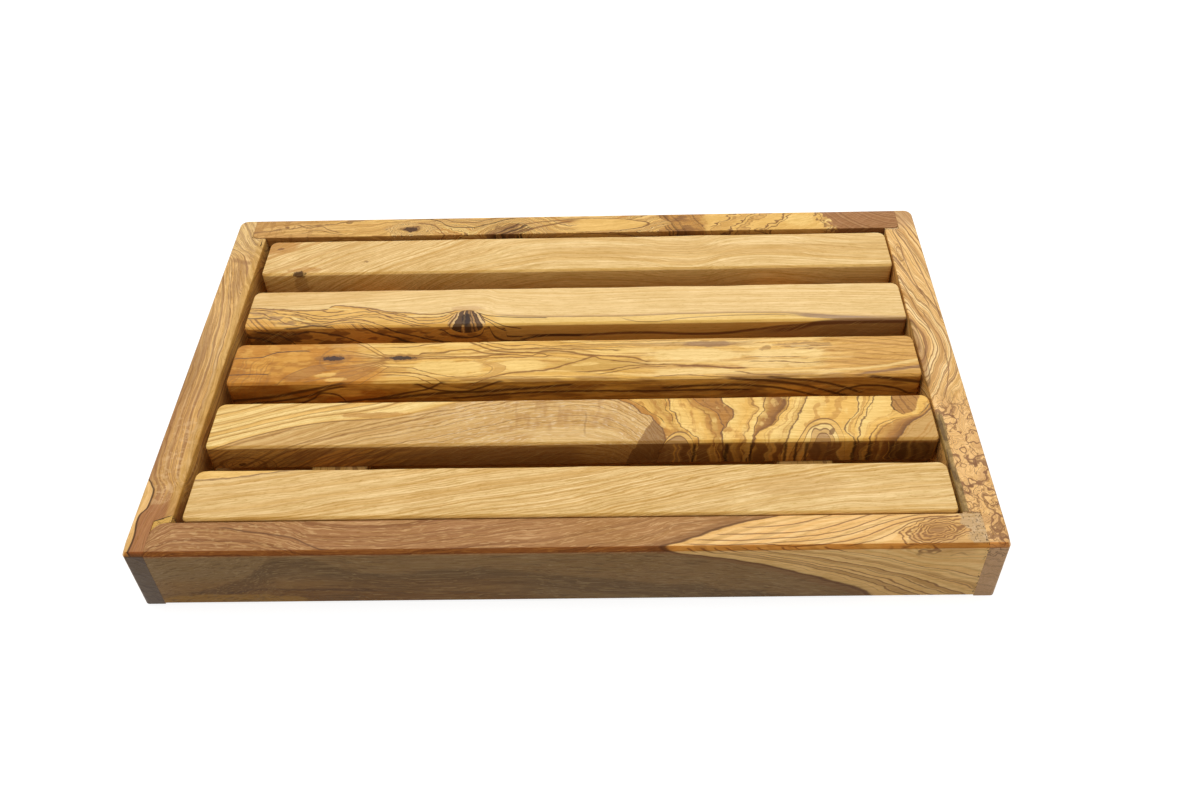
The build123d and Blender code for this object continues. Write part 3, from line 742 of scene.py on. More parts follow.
def wood_slat_4():
    wood = top_figure("slat_4", "tan", 4.0, 0.4)
    wobble = wood.noise((26, 9, 9), 2.0) * 1.4 + wood.noise((6, 2.5, 2.5), 2.0) * 0.4
    dome = wood.path((-182, -34), (-140, -18), (-100, -2), (-60, 8), (-40, 14), (-20, 18.5), (0, 20),
            (10, 19.5), (20, 17), (30, 11), (40, 2), (52, -12), (182, -20))
    grain = wood.across - dome + wobble * 1.6
    wood.coat_rings("pale", 0.5, grain, 2.6, 1.0, 2.0, -0.08, 0.24)
    wood.coat_rings((0.52, 0.27, 0.085), 0.55, grain, 1.8, 4.0, 2.0, 0.04, 0.26)
    wood.coat_lines("brown", 0.5, grain, 9.0, 6.0, 1.0, 0.08, 0.05)
    flecks = wood.grained(grain, 5.0, 0.5, 1.0, 33.0).rise(0.12, 0.30) * wood.x.rise(-110, -40)
    wood.coat((0.86, 0.66, 0.40), flecks * 0.6)
    cross = wood.noise((3.4, 12, 12), 1.0, 35.0).rise(-0.1, 0.4) * wood.x.within(-26, 18, 20)
    wood.coat((0.46, 0.235, 0.08), cross * wood.across.rise(5, 13) * 0.5)
    wood.coat("pale", wood.across.within(2, 8.5, 2.0) * wood.x.within(-14, 20, 8) * 0.4)
    wood.coat("brown", (wood.x + wobble).line(9.0, 0.8) * wood.across.within(8, 20, 3) * 0.35)
    edge = wood.path((-182, -4), (-172, 0.5), (-160, 6), (-150, 9.8), (-140, 12.8), (-130, 15.3), (-120, 17),
            (-100, 18.4), (-90, 19.2), (-80, 21.5), (-70, 25), (-58, 29), (-40, 34), (182, 80))
    first = wood.path((-182, 3), (-170, 7), (-160, 10.5), (-150, 14), (-140, 17), (-130, 20), (-110, 23.4),
            (-96, 26.4), (-84, 31), (-40, 42), (182, 90))
    second = wood.path((-182, 9), (-170, 12.4), (-160, 16), (-150, 20), (-140, 22.5), (-130, 25),
            (-110, 29.6), (-100, 32), (-40, 50), (182, 99))
    third = wood.path((-182, 14), (-170, 17.6), (-160, 21), (-150, 25), (-140, 28), (-130, 31), (182, 110))
    fourth = wood.path((-182, 21.5), (-170, 25), (-160, 28.5), (-150, 32), (182, 120))
    across = wood.across + wobble * 0.35
    stripes = wood.flow(across, [edge, first, second, third, fourth])
    striped = stripes.rise(-0.02, 0.02) * wood.x.rise(-46, -60)
    bronze = (0.34, 0.17, 0.055)
    wood.coat(wood.bands(stripes + wood.noise((60, 20, 20), 1.0, 44.0) * 0.18, (-0.1, "amber"),
            (0.10, "gold"), (0.45, "straw"), (0.8, "straw"), (0.90, "gold"), (0.97, bronze), (1.02, bronze),
            (1.10, "straw"), (1.4, "straw"), (1.48, bronze), (1.52, "gold"), (1.9, "gold"), (1.97, bronze),
            (2.02, bronze), (2.10, "straw"), (2.45, "straw"), (2.52, "honey"), (2.56, "straw"),
            (2.90, "gold"), (2.98, bronze), (3.05, "straw"), (3.5, "straw"), (3.9, "gold"), (4.0, bronze),
            (4.08, "straw"), (5.0, "gold")), striped)
    wood.coat("honey", striped * wood.rings(stripes, 0.36, 9.0).line(0.02, 0.07) * 0.7)
    wood.coat((0.66, 0.37, 0.10), striped * wood.rings(stripes, 0.7, 19.0, 2.0).rise(0.10, 0.3) * 0.5)
    wood.coat("amber", striped * wood.spot(-95, 21.5, 18, 2.0, 0.6, 5.0) * 0.7)
    wood.coat(bronze, (across - edge).line(0.0, 0.7) * wood.x.rise(-84, -100) * 0.85)
    wood.coat(bronze, (across - edge).line(-1.9, 0.45) * wood.x.rise(-120, -140) * 0.6)
    wood.coat(bronze, (across - wood.path((-182, -20), (-135, 1), (-110, 8), (-90, 13), (-76, 18), (-60, 25),
            (182, 40))).line(0.0, 0.55) * wood.x.within(-135, -66, 10) * 0.65)
    bands_of_slat_4(wood)
    knot = wood.oval(-162, -12, 16, 7.5) + wobble * 0.12
    front = wood.across.rise(0.0, -2.0) * wood.x.rise(-132, -150)
    wood.coat("gold", front * wood.rings(knot, 0.2, 55.0, 1.0).rise(-0.1, 0.2) * 0.8)
    wood.blot("vein", 0.9, -162, -12, 1.9, 1.7, 0.4, 1.5)
    wood.coat("russet", wood.across.rise(-1, -3) * wood.x.within(-130, 0, 12) * 0.55)
    ends = wood.across.rise(-0.5, -2.5) * wood.x.rise(-50, -100)
    wood.coat((0.88, 0.50, 0.14), ends * wood.rings(grain, 3.6, 61.0, 2.0).rise(-0.1, 0.2) * 0.7)
    wood.coat(bronze, ends * wood.rings(wood.x * 0.7 - wood.z, 2.6, 62.0, 2.0).rise(0.0, 0.25) * 0.7)
    wood.coat(bronze, ends * wood.rings(knot, 0.34, 63.0, 1.0).line(0.0, 0.12) * knot.rise(1.3, 1.0) * 0.8)
    # Upright faces and chamfers: painted shade, with the saw's scratches.
    painted_shade_and_oil_sides(wood, (0.58, 0.41, 0.195), 0.92, 0.3)
    return wood.finish(grain)


def bands_of_slat_4(wood):
    """The right part of the fourth slat, where the heart's lines cross the board and wind round a knot."""
    wobble = wood.noise((6, 6, 6), 2.0, 31.0) * 1.9 + wood.noise((1.8, 1.8, 1.8), 2.0, 33.0) * 0.6
    along = wood.x + wobble
    down = wood.across

    def across_line(*points):
        return wood.curve(down, points)

    tan_edge = across_line((-16, 44), (-5, 46), (3, 48), (10, 47), (14, 43.5), (18, 41), (20, 37), (25, 33),
            (31, 24))
    second = across_line((-16, 61), (-6, 62), (0, 64), (6, 61), (9, 58), (11, 55.5), (16, 54.5), (20, 53),
            (24, 51), (31, 51))
    third = across_line((-16, 79), (-6, 76), (5, 75.4), (10, 76.5), (13, 76), (19, 75), (22, 72), (26, 67),
            (31, 63))
    blob = across_line((-16, 79.5), (-6, 76.5), (5, 76), (10, 77.5), (14, 80), (19, 83), (26, 79), (31, 77))
    fourth = across_line((-16, 88), (-6, 90), (3, 91), (10, 93), (17, 95), (23, 98), (31, 99))
    brown_edge = across_line((-16, 88.5), (-6, 90.5), (3, 92), (9, 98), (12, 103), (18, 106), (24, 110),
            (31, 111.5))
    fifth = across_line((-16, 106), (-6, 105), (0, 107), (6, 109), (12, 112), (18, 115), (23, 117), (31, 121))
    sixth = across_line((-16, 141), (0, 140), (4, 138), (7, 136.5), (12, 138), (18, 143), (25, 145),
            (31, 146))
    seventh = across_line((-16, 144), (0, 141.5), (4, 142.5), (10, 144), (16, 147), (22, 150), (31, 155))
    eighth = across_line((-16, 148), (0, 147), (6, 150), (12, 156), (15, 164), (17, 174), (25, 181),
            (31, 188))
    ninth = across_line((-16, 158), (0, 160), (5, 164), (12, 170), (17, 177), (22, 181), (31, 192))
    lines = [tan_edge, second, third, blob, fourth, brown_edge, fifth, sixth, seventh, eighth, ninth]
    flow = wood.flow(along, lines)
    zone = (along - tan_edge).rise(-0.3, 0.3)
    dull = (0.46, 0.215, 0.06)
    bright, warm = (0.95, 0.64, 0.215), (0.86, 0.50, 0.125)
    wood.coat(wood.bands(flow, (-0.05, "brown"), (0.08, "amber"), (0.35, warm), (0.7, "honey"), (0.97, warm),
            (1.03, bright), (1.5, warm), (1.8, "honey"), (1.97, "amber"), (2.03, dull), (2.9, dull),
            (2.98, "brown"), (3.03, bright), (3.5, warm), (3.96, bright), (4.03, "honey"), (4.3, dull),
            (4.85, "brown"), (5.0, warm), (5.5, bright), (5.97, "honey"), (6.03, bright), (6.5, warm),
            (6.96, warm), (7.04, bright), (7.6, warm), (8.03, bright), (8.7, warm), (9.04, warm), (9.6, dull),
            (9.97, "brown"), (10.05, "tan")), zone)
    inner = wood.rings(flow + wood.noise((9, 9, 9), 2.0, 39.0) * 0.25, 0.24, 38.0, 2.0)
    wood.coat("amber", zone * inner.rise(0.06, 0.24) * 0.55)
    wood.coat("brown", zone * inner.rise(0.22, 0.32) * flow.within(1.0, 5.0, 0.05) * 0.5)
    mottle = wood.noise((5, 9, 9), 3.0, 36.0)
    wood.coat("amber", zone * mottle.rise(0.06, 0.26) * along.rise(88, 80) * 0.7)
    wood.coat(bright, zone * mottle.rise(-0.12, -0.3) * flow.rise(10.0, 9.6) * 0.5)
    for line, half in zip(lines, (0.75, 0.65, 0.5, 0.55, 0.45, 0.5, 0.8, 0.65, 0.65, 0.6, 0.75)):
        wood.coat((0.20, 0.10, 0.045), (along - line).line(0.0, half * 0.9) * 0.85)
    wood.coat("vein", (along - tan_edge).line(4.6, 0.5) * down.rise(12, 16) * 0.75)
    wood.coat("vein", (along - second).line(-2.2, 0.4) * down.rise(12, 16) * 0.6)
    wood.coat("brown", (along - seventh).line(-2.4, 0.4) * down.rise(6, 12) * 0.75)
    wood.coat("brown", (along - eighth).line(3.2, 0.8) * down.rise(16, 12) * 0.6)
    wedge = (along - across_line((-16, 28), (0, 34.5), (3, 36), (14, 41.5), (31, 60))).rise(-0.3, 0.3)
    wood.coat("brown", wedge * (along - tan_edge).rise(0.2, -0.2) * 0.7)
    pocket = (along - across_line((-16, 190), (16, 170), (17.5, 165), (22, 162), (31, 163))).rise(-0.3, 0.3)
    pocket = pocket * (along - across_line((-16, 160), (14, 160), (17, 166), (20, 172), (31, 177))).rise(0.5,
            -0.5)
    wood.coat(dull, pocket * 0.9)
    wood.coat("brown", pocket * wood.rings(along + down * 0.4, 1.4, 43.0, 2.0).rise(0.0, 0.25) * 0.6)
    wood.coat("vein", (along - across_line((-16, 190), (16, 170), (17.5, 165), (22, 162),
            (31, 163))).line(0.0, 0.5) * down.rise(15, 17) * 0.8)
    brown, dusky = (0.24, 0.115, 0.045), (0.50, 0.29, 0.125)
    shake = wobble * 0.35
    wood.waver = shake
    outer = wood.path((108, -20), (111, -4), (114, 3), (117, 8), (120, 12), (123, 14), (127, 15), (131, 13.5),
            (133, 11), (134.3, 7), (135.2, 0), (137, -20))
    second_arch = wood.path((108, -30), (113, -8), (115.5, 0), (118, 6), (120.5, 9), (123, 10.6), (126, 11.6),
            (128, 11.4), (130, 9.8), (131.4, 6), (132.4, 0), (134, -20))
    third_arch = wood.path((108, -40), (117, -8), (118.6, 0), (120, 6), (122, 8.2), (124, 7.4), (126, 8.4),
            (128, 7.6), (129.4, 4), (130.4, 0), (132, -20))
    fourth_arch = wood.path((108, -50), (119, -8), (121, 0), (123, 4.4), (125, 5.2), (127, 4.6), (128.4, 0),
            (130, -20))
    for arch, tone in ((outer, "gold"), (second_arch, "straw"), (third_arch, (0.70, 0.42, 0.15)),
            (fourth_arch, dusky)):
        wood.coat(tone, (down + shake - arch).rise(0.3, -0.3) * wood.x.within(108, 137, 0.5) * 0.9)
    for arch, half in ((outer, 0.8), (second_arch, 0.8), (third_arch, 0.9), (fourth_arch, 0.8)):
        wood.coat(brown, (down + shake - arch).line(0.0, half) * wood.x.within(108, 137, 0.5) * 0.85)
    wood.blot(brown, 0.85, 129.6, 6.0, 1.4, 2.6, 0.5, 1.5, 0.3)
    first_arch = wood.path((40, -30), (46, -6), (49, 2.6), (52, 5.8), (55, 7.2), (58, 6.4), (60.5, 3.4),
            (62.4, -4), (70, -30))
    inner_arch = wood.path((40, -40), (46, -6), (49, 0.6), (52, 3.4), (55, 4.6), (57, 3.4), (59, 0), (61, -8),
            (70, -30))
    for arch, tone in ((first_arch, "gold"), (inner_arch, dusky)):
        wood.coat(tone, (down + shake - arch).rise(0.3, -0.3) * wood.x.within(44, 64, 0.5) * 0.9)
        wood.coat(brown, (down + shake - arch).line(0.0, 0.8) * wood.x.within(44, 64, 0.5) * 0.85)
    face = down.rise(0.0, -2.5) * wood.x.rise(40, 50)
    upright = wood.rings(wood.x + wobble * 0.4 + wood.noise((14, 14, 9), 1.0, 66.0) * 5.0, 7.0, 67.0, 2.0)
    wood.coat((0.30, 0.13, 0.04), face * upright.rise(-0.12, 0.2) * 0.85)
    wood.coat((1.0, 0.60, 0.17), face * upright.line(-0.2, 0.09) * 0.8)
    for place, half in ((62, 1.3), (78, 1.5), (90, 0.9), (107, 1.2), (112, 1.0), (117, 1.4), (140, 1.2),
            (148, 1.6)):
        wood.coat("vein", face * (wood.x + wobble * 0.6).line(place, half) * 0.8)
    wood.blot(brown, 0.8, 124, -8.0, 6, 7.0, 0.5, 3.0)
    wood.coat("vein", down.rise(-0.5, -3) * (wood.x + wobble).within(160, 186, 5) * 0.55)


def wood_slat_5():
    wood = top_figure("slat_5", "pale", 5.0, 0.3)
    lay = wood.path((-182, -40), (-120, -29), (-60, -18), (0, -8), (40, 2), (80, 11), (110, 18), (135, 22),
            (182, 25))
    grain = wood.across - lay + wood.noise((60, 16, 16)) * 3.5 + wood.noise((14, 3, 3)) * 0.3
    wood.coat_rings((0.66, 0.37, 0.09), 0.6, grain, 4.4, 1.0, 2.0, -0.08, 0.30)
    wood.coat_rings((0.60, 0.325, 0.085), 0.7, grain, 1.2, 4.0, 2.0, 0.06, 0.26)
    wood.coat_rings((0.92, 0.66, 0.31), 0.5, grain, 2.0, 11.0, 2.0, 0.05, 0.3)
    dense = wood.x.within(-70, 66, 14) * wood.rings(grain, 1.0, 15.0, 1.0).rise(0.02, 0.2)
    wood.coat((0.60, 0.33, 0.09), dense * 0.55)
    streaky(wood, grain, "tan", 0.4, 0.6)
    wood.coat("tan", wood.x.rise(-20, -150) * 0.25)
    wood.blot("tan", 0.45, 108, 17, 22, 6, 0.6, 12.0, 1.2)
    strip = wood.across - wood.path((-182, 24.5), (-165, 25.5), (-150, 27.5), (-128, 31), (182, 60))
    strip = strip + wood.noise((5, 2, 2), 2.0) * 0.8
    wood.coat("gold", strip.rise(0.0, 0.6) * 0.9)
    wood.coat("brown", strip.line(-0.2, 0.8) * 0.7)
    # Upright faces and chamfers: painted shade, with the saw's scratches.
    painted_shade_and_oil_sides(wood, (0.50, 0.38, 0.22), 0.9)
    return wood.finish(grain, fibre=0.46)


def wood_front_rail():
    wood = top_figure("front_rail", (0.385, 0.178, 0.064), 6.0)
    wobble = wood.noise((26, 10, 10), 2.0) * 2.2 + wood.noise((6, 3, 3), 2.0) * 0.6
    lay = wood.path((-192, 2), (-184, 10), (-172, 13), (-158, 12), (-140, 10), (-125, 6), (-112, 2), (-90, 1),
            (-60, 4), (-30, 8), (0, 12), (30, 19), (60, 28), (192, 40))
    grain = wood.across - lay + wobble
    wood.coat_rings((0.54, 0.285, 0.11), 0.5, grain, 2.4, 1.0, 2.0, -0.02, 0.26)
    wood.coat_rings((0.24, 0.095, 0.03), 0.65, grain, 3.0, 3.0, 2.0, 0.0, 0.22)
    wood.coat_lines((0.17, 0.07, 0.025), 0.75, grain, 6.0, 8.0, 1.0, 0.05, 0.04)
    wood.coat((0.50, 0.255, 0.085), wood.x.rise(-60, 30) * wood.across.rise(0, 4) * 0.4)
    flecks = wood.grained(grain, 7.0, 0.6, 1.0, 33.0).rise(0.12, 0.28)
    wood.coat((0.70, 0.42, 0.175), flecks * 0.5)
    cross = wood.noise((3.0, 2.4, 2.4), 1.0, 34.0).rise(0.16, 0.36) * wood.x.within(-172, -120, 12)
    wood.coat((0.58, 0.35, 0.15), cross * wood.across.rise(1, 3) * 0.35)
    wood.waver = wobble * 0.4
    wood.stroke((0.17, 0.075, 0.03), 0.7, (-156, 15), (-146, 13), (-134, 11), (-124, 9), (-116, 5), (-110, 2))
    face = wood.across.rise(-1.5, -4)
    wood.coat((0.262, 0.152, 0.060), face * 0.85)
    sweep_line = wood.path((-192, -33), (-175, -29), (-155, -22), (-140, -13), (-124, -3), (-110, -8),
            (-80, -17), (-50, -13), (-20, -16), (20, -22), (192, -50))
    billow = wood.across - sweep_line + wobble
    wood.coat((0.155, 0.085, 0.034), face * billow.rise(1.5, -1.0) * billow.rise(-22, -6) * 0.75)
    wood.coat((0.30, 0.185, 0.08), face * billow.rise(0.0, 4.0) * wood.x.rise(-110, -130) * 0.5)
    low_part = wood.across - wood.path((-192, -35), (-170, -33), (-140, -28), (-110, -28), (-60, -30),
            (-20, -34), (20, -39), (192, -60)) + wobble
    wood.coat((0.205, 0.098, 0.026), low_part.rise(1.5, -1.5) * 0.7)
    wood.coat((0.12, 0.06, 0.025), face * low_part.line(0.0, 1.2) * wood.x.rise(-10, -60) * 0.7)
    wood.blot((0.42, 0.235, 0.06), 0.8, -158, -36, 36, 5.0, 0.5, 12.0)
    slant = wood.across - wood.path((-192, -26), (-170, -17), (-145, -6), (-124, 4), (-108, 5), (-90, 1),
            (-60, -2), (-30, 1), (0, -3), (50, -12), (100, -25), (192, -44)) + wobble * 1.4
    wood.coat((0.43, 0.28, 0.125), face * wood.grained(slant, 26.0, 0.8, 2.0, 37.0).rise(0.08, 0.28) * 0.55)
    wood.coat((0.12, 0.066, 0.026), face * wood.grained(slant, 40.0, 1.4, 2.0, 47.0).rise(0.06, 0.28) * 0.5)
    wood.coat((0.31, 0.185, 0.07), face * wood.rings(slant, 5.0, 57.0, 2.0).rise(0.02, 0.3) * 0.35)
    wood.stain((1.0, 0.90, 0.76), wood.across.rise(-16, -24) * wood.x.rise(0, -40))
    heart_edge = wood.curve(wood.across, ((-38, 146), (-32, 135), (-24, 120), (-16, 101), (-9.5, 80),
            (-5, 62), (-2, 48), (1, 45), (4, 52), (7, 60), (11, 70), (15, 81), (18.5, 99)))
    sweep = wood.x - heart_edge + wobble * 2.2
    knot = wood.hump(168, 8.5, 12, 6.0, 40.0)
    loop = wood.hump(168, -4.0, 14, 9.0, 30.0) * wood.across.rise(0.5, -1.0)
    field = sweep + knot + loop
    right = sweep.rise(-0.5, 0.5)
    over = wood.across.rise(-0.5, 1.0)
    wood.coat((0.88, 0.51, 0.175), right)
    wood.coat((0.95, 0.62, 0.255), right * wood.rings(field, 12.0, 2.0).rise(-0.15, 0.2) * 0.7)
    brown = (0.30, 0.135, 0.05)
    lines = field + wood.noise((30, 8, 8), 2.0, 45.0) * 5.0
    wood.coat("tan", right * wood.rings(lines, 9.0, 6.0, 2.0).rise(0.04, 0.28) * 0.6)
    wood.coat((0.52, 0.29, 0.10), right * face * sweep.rise(14, 2) * 0.8)
    for low, high in ((17, 21), (36, 41), (54, 59)):
        wood.coat((0.55, 0.30, 0.10), right * face * lines.within(low, high, 1.0) * 0.75)
    under = 1.0 - over
    for place, half in ((9, 0.9), (15, 1.2), (21, 1.0), (26, 1.3), (34, 0.9), (41, 1.4), (52, 1.1), (58, 0.8),
            (71, 1.2)):
        wood.coat(brown, right * under * lines.line(place, half) * 0.85)
    wood.coat((1.0, 0.62, 0.23), right * face * wood.rings(lines, 14.0, 9.0, 1.0).rise(-0.1, 0.2) * 0.5)
    swirl = wood.noise((20, 13, 13), 2.0, 71.0)
    knotty = wood.x.within(150, 181, 6) * wood.across.rise(-9, -3)
    wood.coat((0.66, 0.36, 0.13), knotty * swirl.rise(-0.05, 0.15) * 0.6)
    wood.coat(brown, knotty * swirl.line(0.02, 0.05) * wood.across.rise(2, -1) * 0.85)
    wood.waver = wobble * 0.5
    wood.strokes(brown, [
        (0.55, (72, 8), (84, 8.2), (100, 8.6), (112, 10), (124, 13), (136, 17), (142, 19)),
        (0.5, (62, 5), (80, 4.6), (96, 5.4), (110, 6.4), (124, 9), (136, 13), (148, 18)),
        (0.45, (84, 12), (96, 12.6), (106, 14), (116, 16.6), (124, 19)),
        (0.5, (96, 3), (112, 4), (126, 6.4), (138, 10.6), (150, 15), (162, 18)),
        (0.6, (104, 0.5), (120, 2), (132, 4.6), (142, 9), (152, 13), (166, 16.4), (178, 17)),
        (0.5, (128, 0), (138, 3), (146, 6.6), (152, 10), (160, 14), (172, 16)),
        (0.5, (58, 2.4), (72, 2.0), (86, 2.4), (98, 1.0)),
    ])
    eye = wood.oval(169, 8.8, 13, 6.6, 0.9) + wood.noise((7, 5, 5), 2.0, 63.0) * 0.42
    wood.coat("amber", over * eye.rise(1.15, 0.6) * 0.45)
    for radius, half in ((1.22, 0.05), (1.02, 0.08), (0.86, 0.05), (0.70, 0.09), (0.52, 0.06), (0.36, 0.08)):
        wood.coat(brown, over * eye.line(radius, half) * 0.88)
    wood.coat("russet", over * eye.rise(0.34, 0.2) * 0.7)
    wood.coat("vein", sweep.line(0.0, 2.6) * 0.85)
    wood.coat("brown", sweep.within(-7, 0, 4) * 0.5)
    patch = (wood.x + wood.noise((3, 3, 3), 2.0, 50.0) * 5.0 + wood.across * 0.18).rise(182.6, 184.6)
    patch = patch * wood.across.rise(0.8, 1.6)
    wood.coat("putty", patch * 0.94)
    wood.coat((0.72, 0.50, 0.28), patch * wood.noise((2.2, 2.2, 2.2), 2.0, 54.0).rise(0.0, 0.25) * 0.6)
    pits = wood.noise((1.0, 1.3, 1.3), 2.0, 51.0).rise(0.14, 0.3)
    wood.coat("vein", pits * patch * 0.55)
    wood.coat("vein", pits * wood.x.rise(188.6, 189.6) * 0.8)
    # Painted shade: the front top chamfer is darkened.
    band = wood.edge.rise(2.0, 1.7)
    wood.stain((0.56, 0.34, 0.10), band * 0.92)
    return wood.finish(grain, fibre=0.34)


def side_figure(node, base, side, seed=0.0):
    """A figure that runs along y, measured across from the rail's top outer arris."""
    low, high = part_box(node)
    wood = Figure(node + "_wood", base, seed)
    wood.along = wood.y
    outward = (wood.x - low.x / MM) if side < 0 else (high.x / MM - wood.x)
    wood.across = outward + (wood.z - high.z / MM)
    wood.edge = (wood.y + 125.0) + (high.z / MM - wood.z)
    wood.outward = outward
    return wood


def front_end(wood, tone, swirl):
    """The end grain of a side rail's tongue, in the front face of the box, and painted shade on the rail's
    front top chamfer.
    """
    end = wood.facing_y.rise(-0.6, -0.85)
    rings = wood.rings(wood.z + wood.x * 0.35 + wood.noise((6, 6, 6)) * 4.0, 2.2, 71.0, 2.0)
    wood.coat(tone, end * 0.95)
    wood.stain((0.62, 0.60, 0.58), end * rings.rise(0.0, 0.3) * 0.5)
    if swirl:
        wood.coat("vein", end * wood.z.within(30, 36, 1.5) * wood.rings(wood.z + wood.noise((4, 4, 4), 2.0,
                72.0) * 5.0, 1.6, 73.0).rise(0.0, 0.2) * 0.6)
    # Painted shade: the front top chamfer is darkened.
    band = wood.edge.rise(2.0, 1.7)
    wood.stain((0.64, 0.37, 0.12), band * 0.85)


def wood_side_rail_left():
    wood = side_figure("side_rail_left", "tan", -1, 7.0)
    wobble = wood.noise((8, 34, 8), 2.0) * 2.6 + wood.noise((2.2, 7, 2.2), 2.0) * 0.5
    wood.waver = wobble * 0.3
    lay = wood.path((-126, 4), (-108, 5), (-90, 8), (-76, 3), (-50, 1), (0, 0), (40, -3), (70, -9), (88, -14),
            (100, -26), (126, -40))
    grain = wood.across - lay + wobble
    wood.coat((0.80, 0.465, 0.16), wood.y.rise(-110, 60) * 0.8)
    wood.blot("gold", 0.5, -62, 13, 34, 6, 0.7, 14.0)
    wood.coat("pale", wood.y.rise(84, 104) * 0.75)
    brown = (0.36, 0.18, 0.07)
    wood.coat(brown, wood.rings(grain, 2.6, 1.0, 2.0).rise(-0.04, 0.26) * wood.y.rise(100, -20) * 0.65)
    wood.coat_rings(brown, 0.6, grain, 1.1, 5.0, 2.0, 0.06, 0.26)
    wood.coat_rings((0.90, 0.60, 0.25), 0.5, grain, 1.7, 12.0, 2.0, 0.05, 0.26)
    wood.coat_lines(brown, 0.6, grain, 5.0, 15.0, 1.0, 0.0, 0.05)
    wood.coat((0.445, 0.195, 0.078), wood.y.rise(-84, -100) * 0.8)
    shade = wood.across - wood.path((-126, -5), (-84, 0.5), (-70, 2.6), (-50, 3), (-30, 3.6), (-10, 5.6),
            (10, 6.4), (40, 5), (70, 2), (126, -4))
    wood.coat(brown, shade.rise(1.2, -1.2) * wood.y.rise(-86, -76) * wood.y.rise(60, 10) * 0.55)
    streaky(wood, grain, brown, 0.45, 0.8)
    flecks = wood.noise((4.0, 3.0, 4.0), 2.0, 35.0).rise(0.06, 0.26) * wood.y.rise(-20,
            -50) * wood.y.rise(-104, -90)
    wood.coat((0.82, 0.56, 0.27), flecks * wood.across.rise(2, 6) * 0.45)
    wood.coat_lines("brown", 0.55, grain, 6.0, 8.0, 1.0, 0.05, 0.025)
    notch = abs(wood.y - 86 + (wood.across - 9) * 0.2 + wobble)
    wood.coat("russet", notch.rise(3.0, 0.6) * wood.across.within(4, 13, 3) * 0.6)
    wood.blot(brown, 0.4, 70, 10, 18, 4, 0.7, 7.0)
    sap = wood.path((-126, 2.2), (-116, 2.8), (-104, 1.6), (-97, 4.4), (-90, 4.6), (-84, 2.8), (-79, -1),
            (-70, -9), (126, -12))
    edge = wood.across - sap + wobble * 0.25
    wood.coat((0.86, 0.515, 0.195), edge.rise(0.15, -0.15))
    wood.coat("honey", edge.rise(-1.6, -3.4) * 0.5)
    wood.stain((0.94, 0.87, 0.85), wood.y.rise(10, -40) * edge.rise(0.0, 1.0))
    outer = edge.rise(-3.0, -9.0)
    wood.coat(brown, outer * wood.rings(grain, 3.4, 19.0, 2.0).rise(0.0, 0.3) * 0.6)
    wood.coat("gold", outer * wood.rings(grain, 2.0, 20.0, 2.0).rise(0.05, 0.3) * 0.6)
    wood.coat("brown", outer * wood.rings(grain, 6.0, 21.0, 1.0).line(0.0, 0.04) * 0.6)
    wood.coat("vein", edge.line(0.4, 0.75) * wood.y.rise(-72, -80) * 0.85)
    inner = wood.across.rise(13.5, 15.5)
    wood.coat("honey", inner * 0.55)
    # Painted shade: the inner face, down in the box, is darkened.
    wood.stain((0.90, 0.82, 0.55), wood.facing_x.rise(0.5, 0.8) * 0.9)
    front_end(wood, (0.152, 0.112, 0.086), False)
    return wood.finish(grain, fibre=0.40)


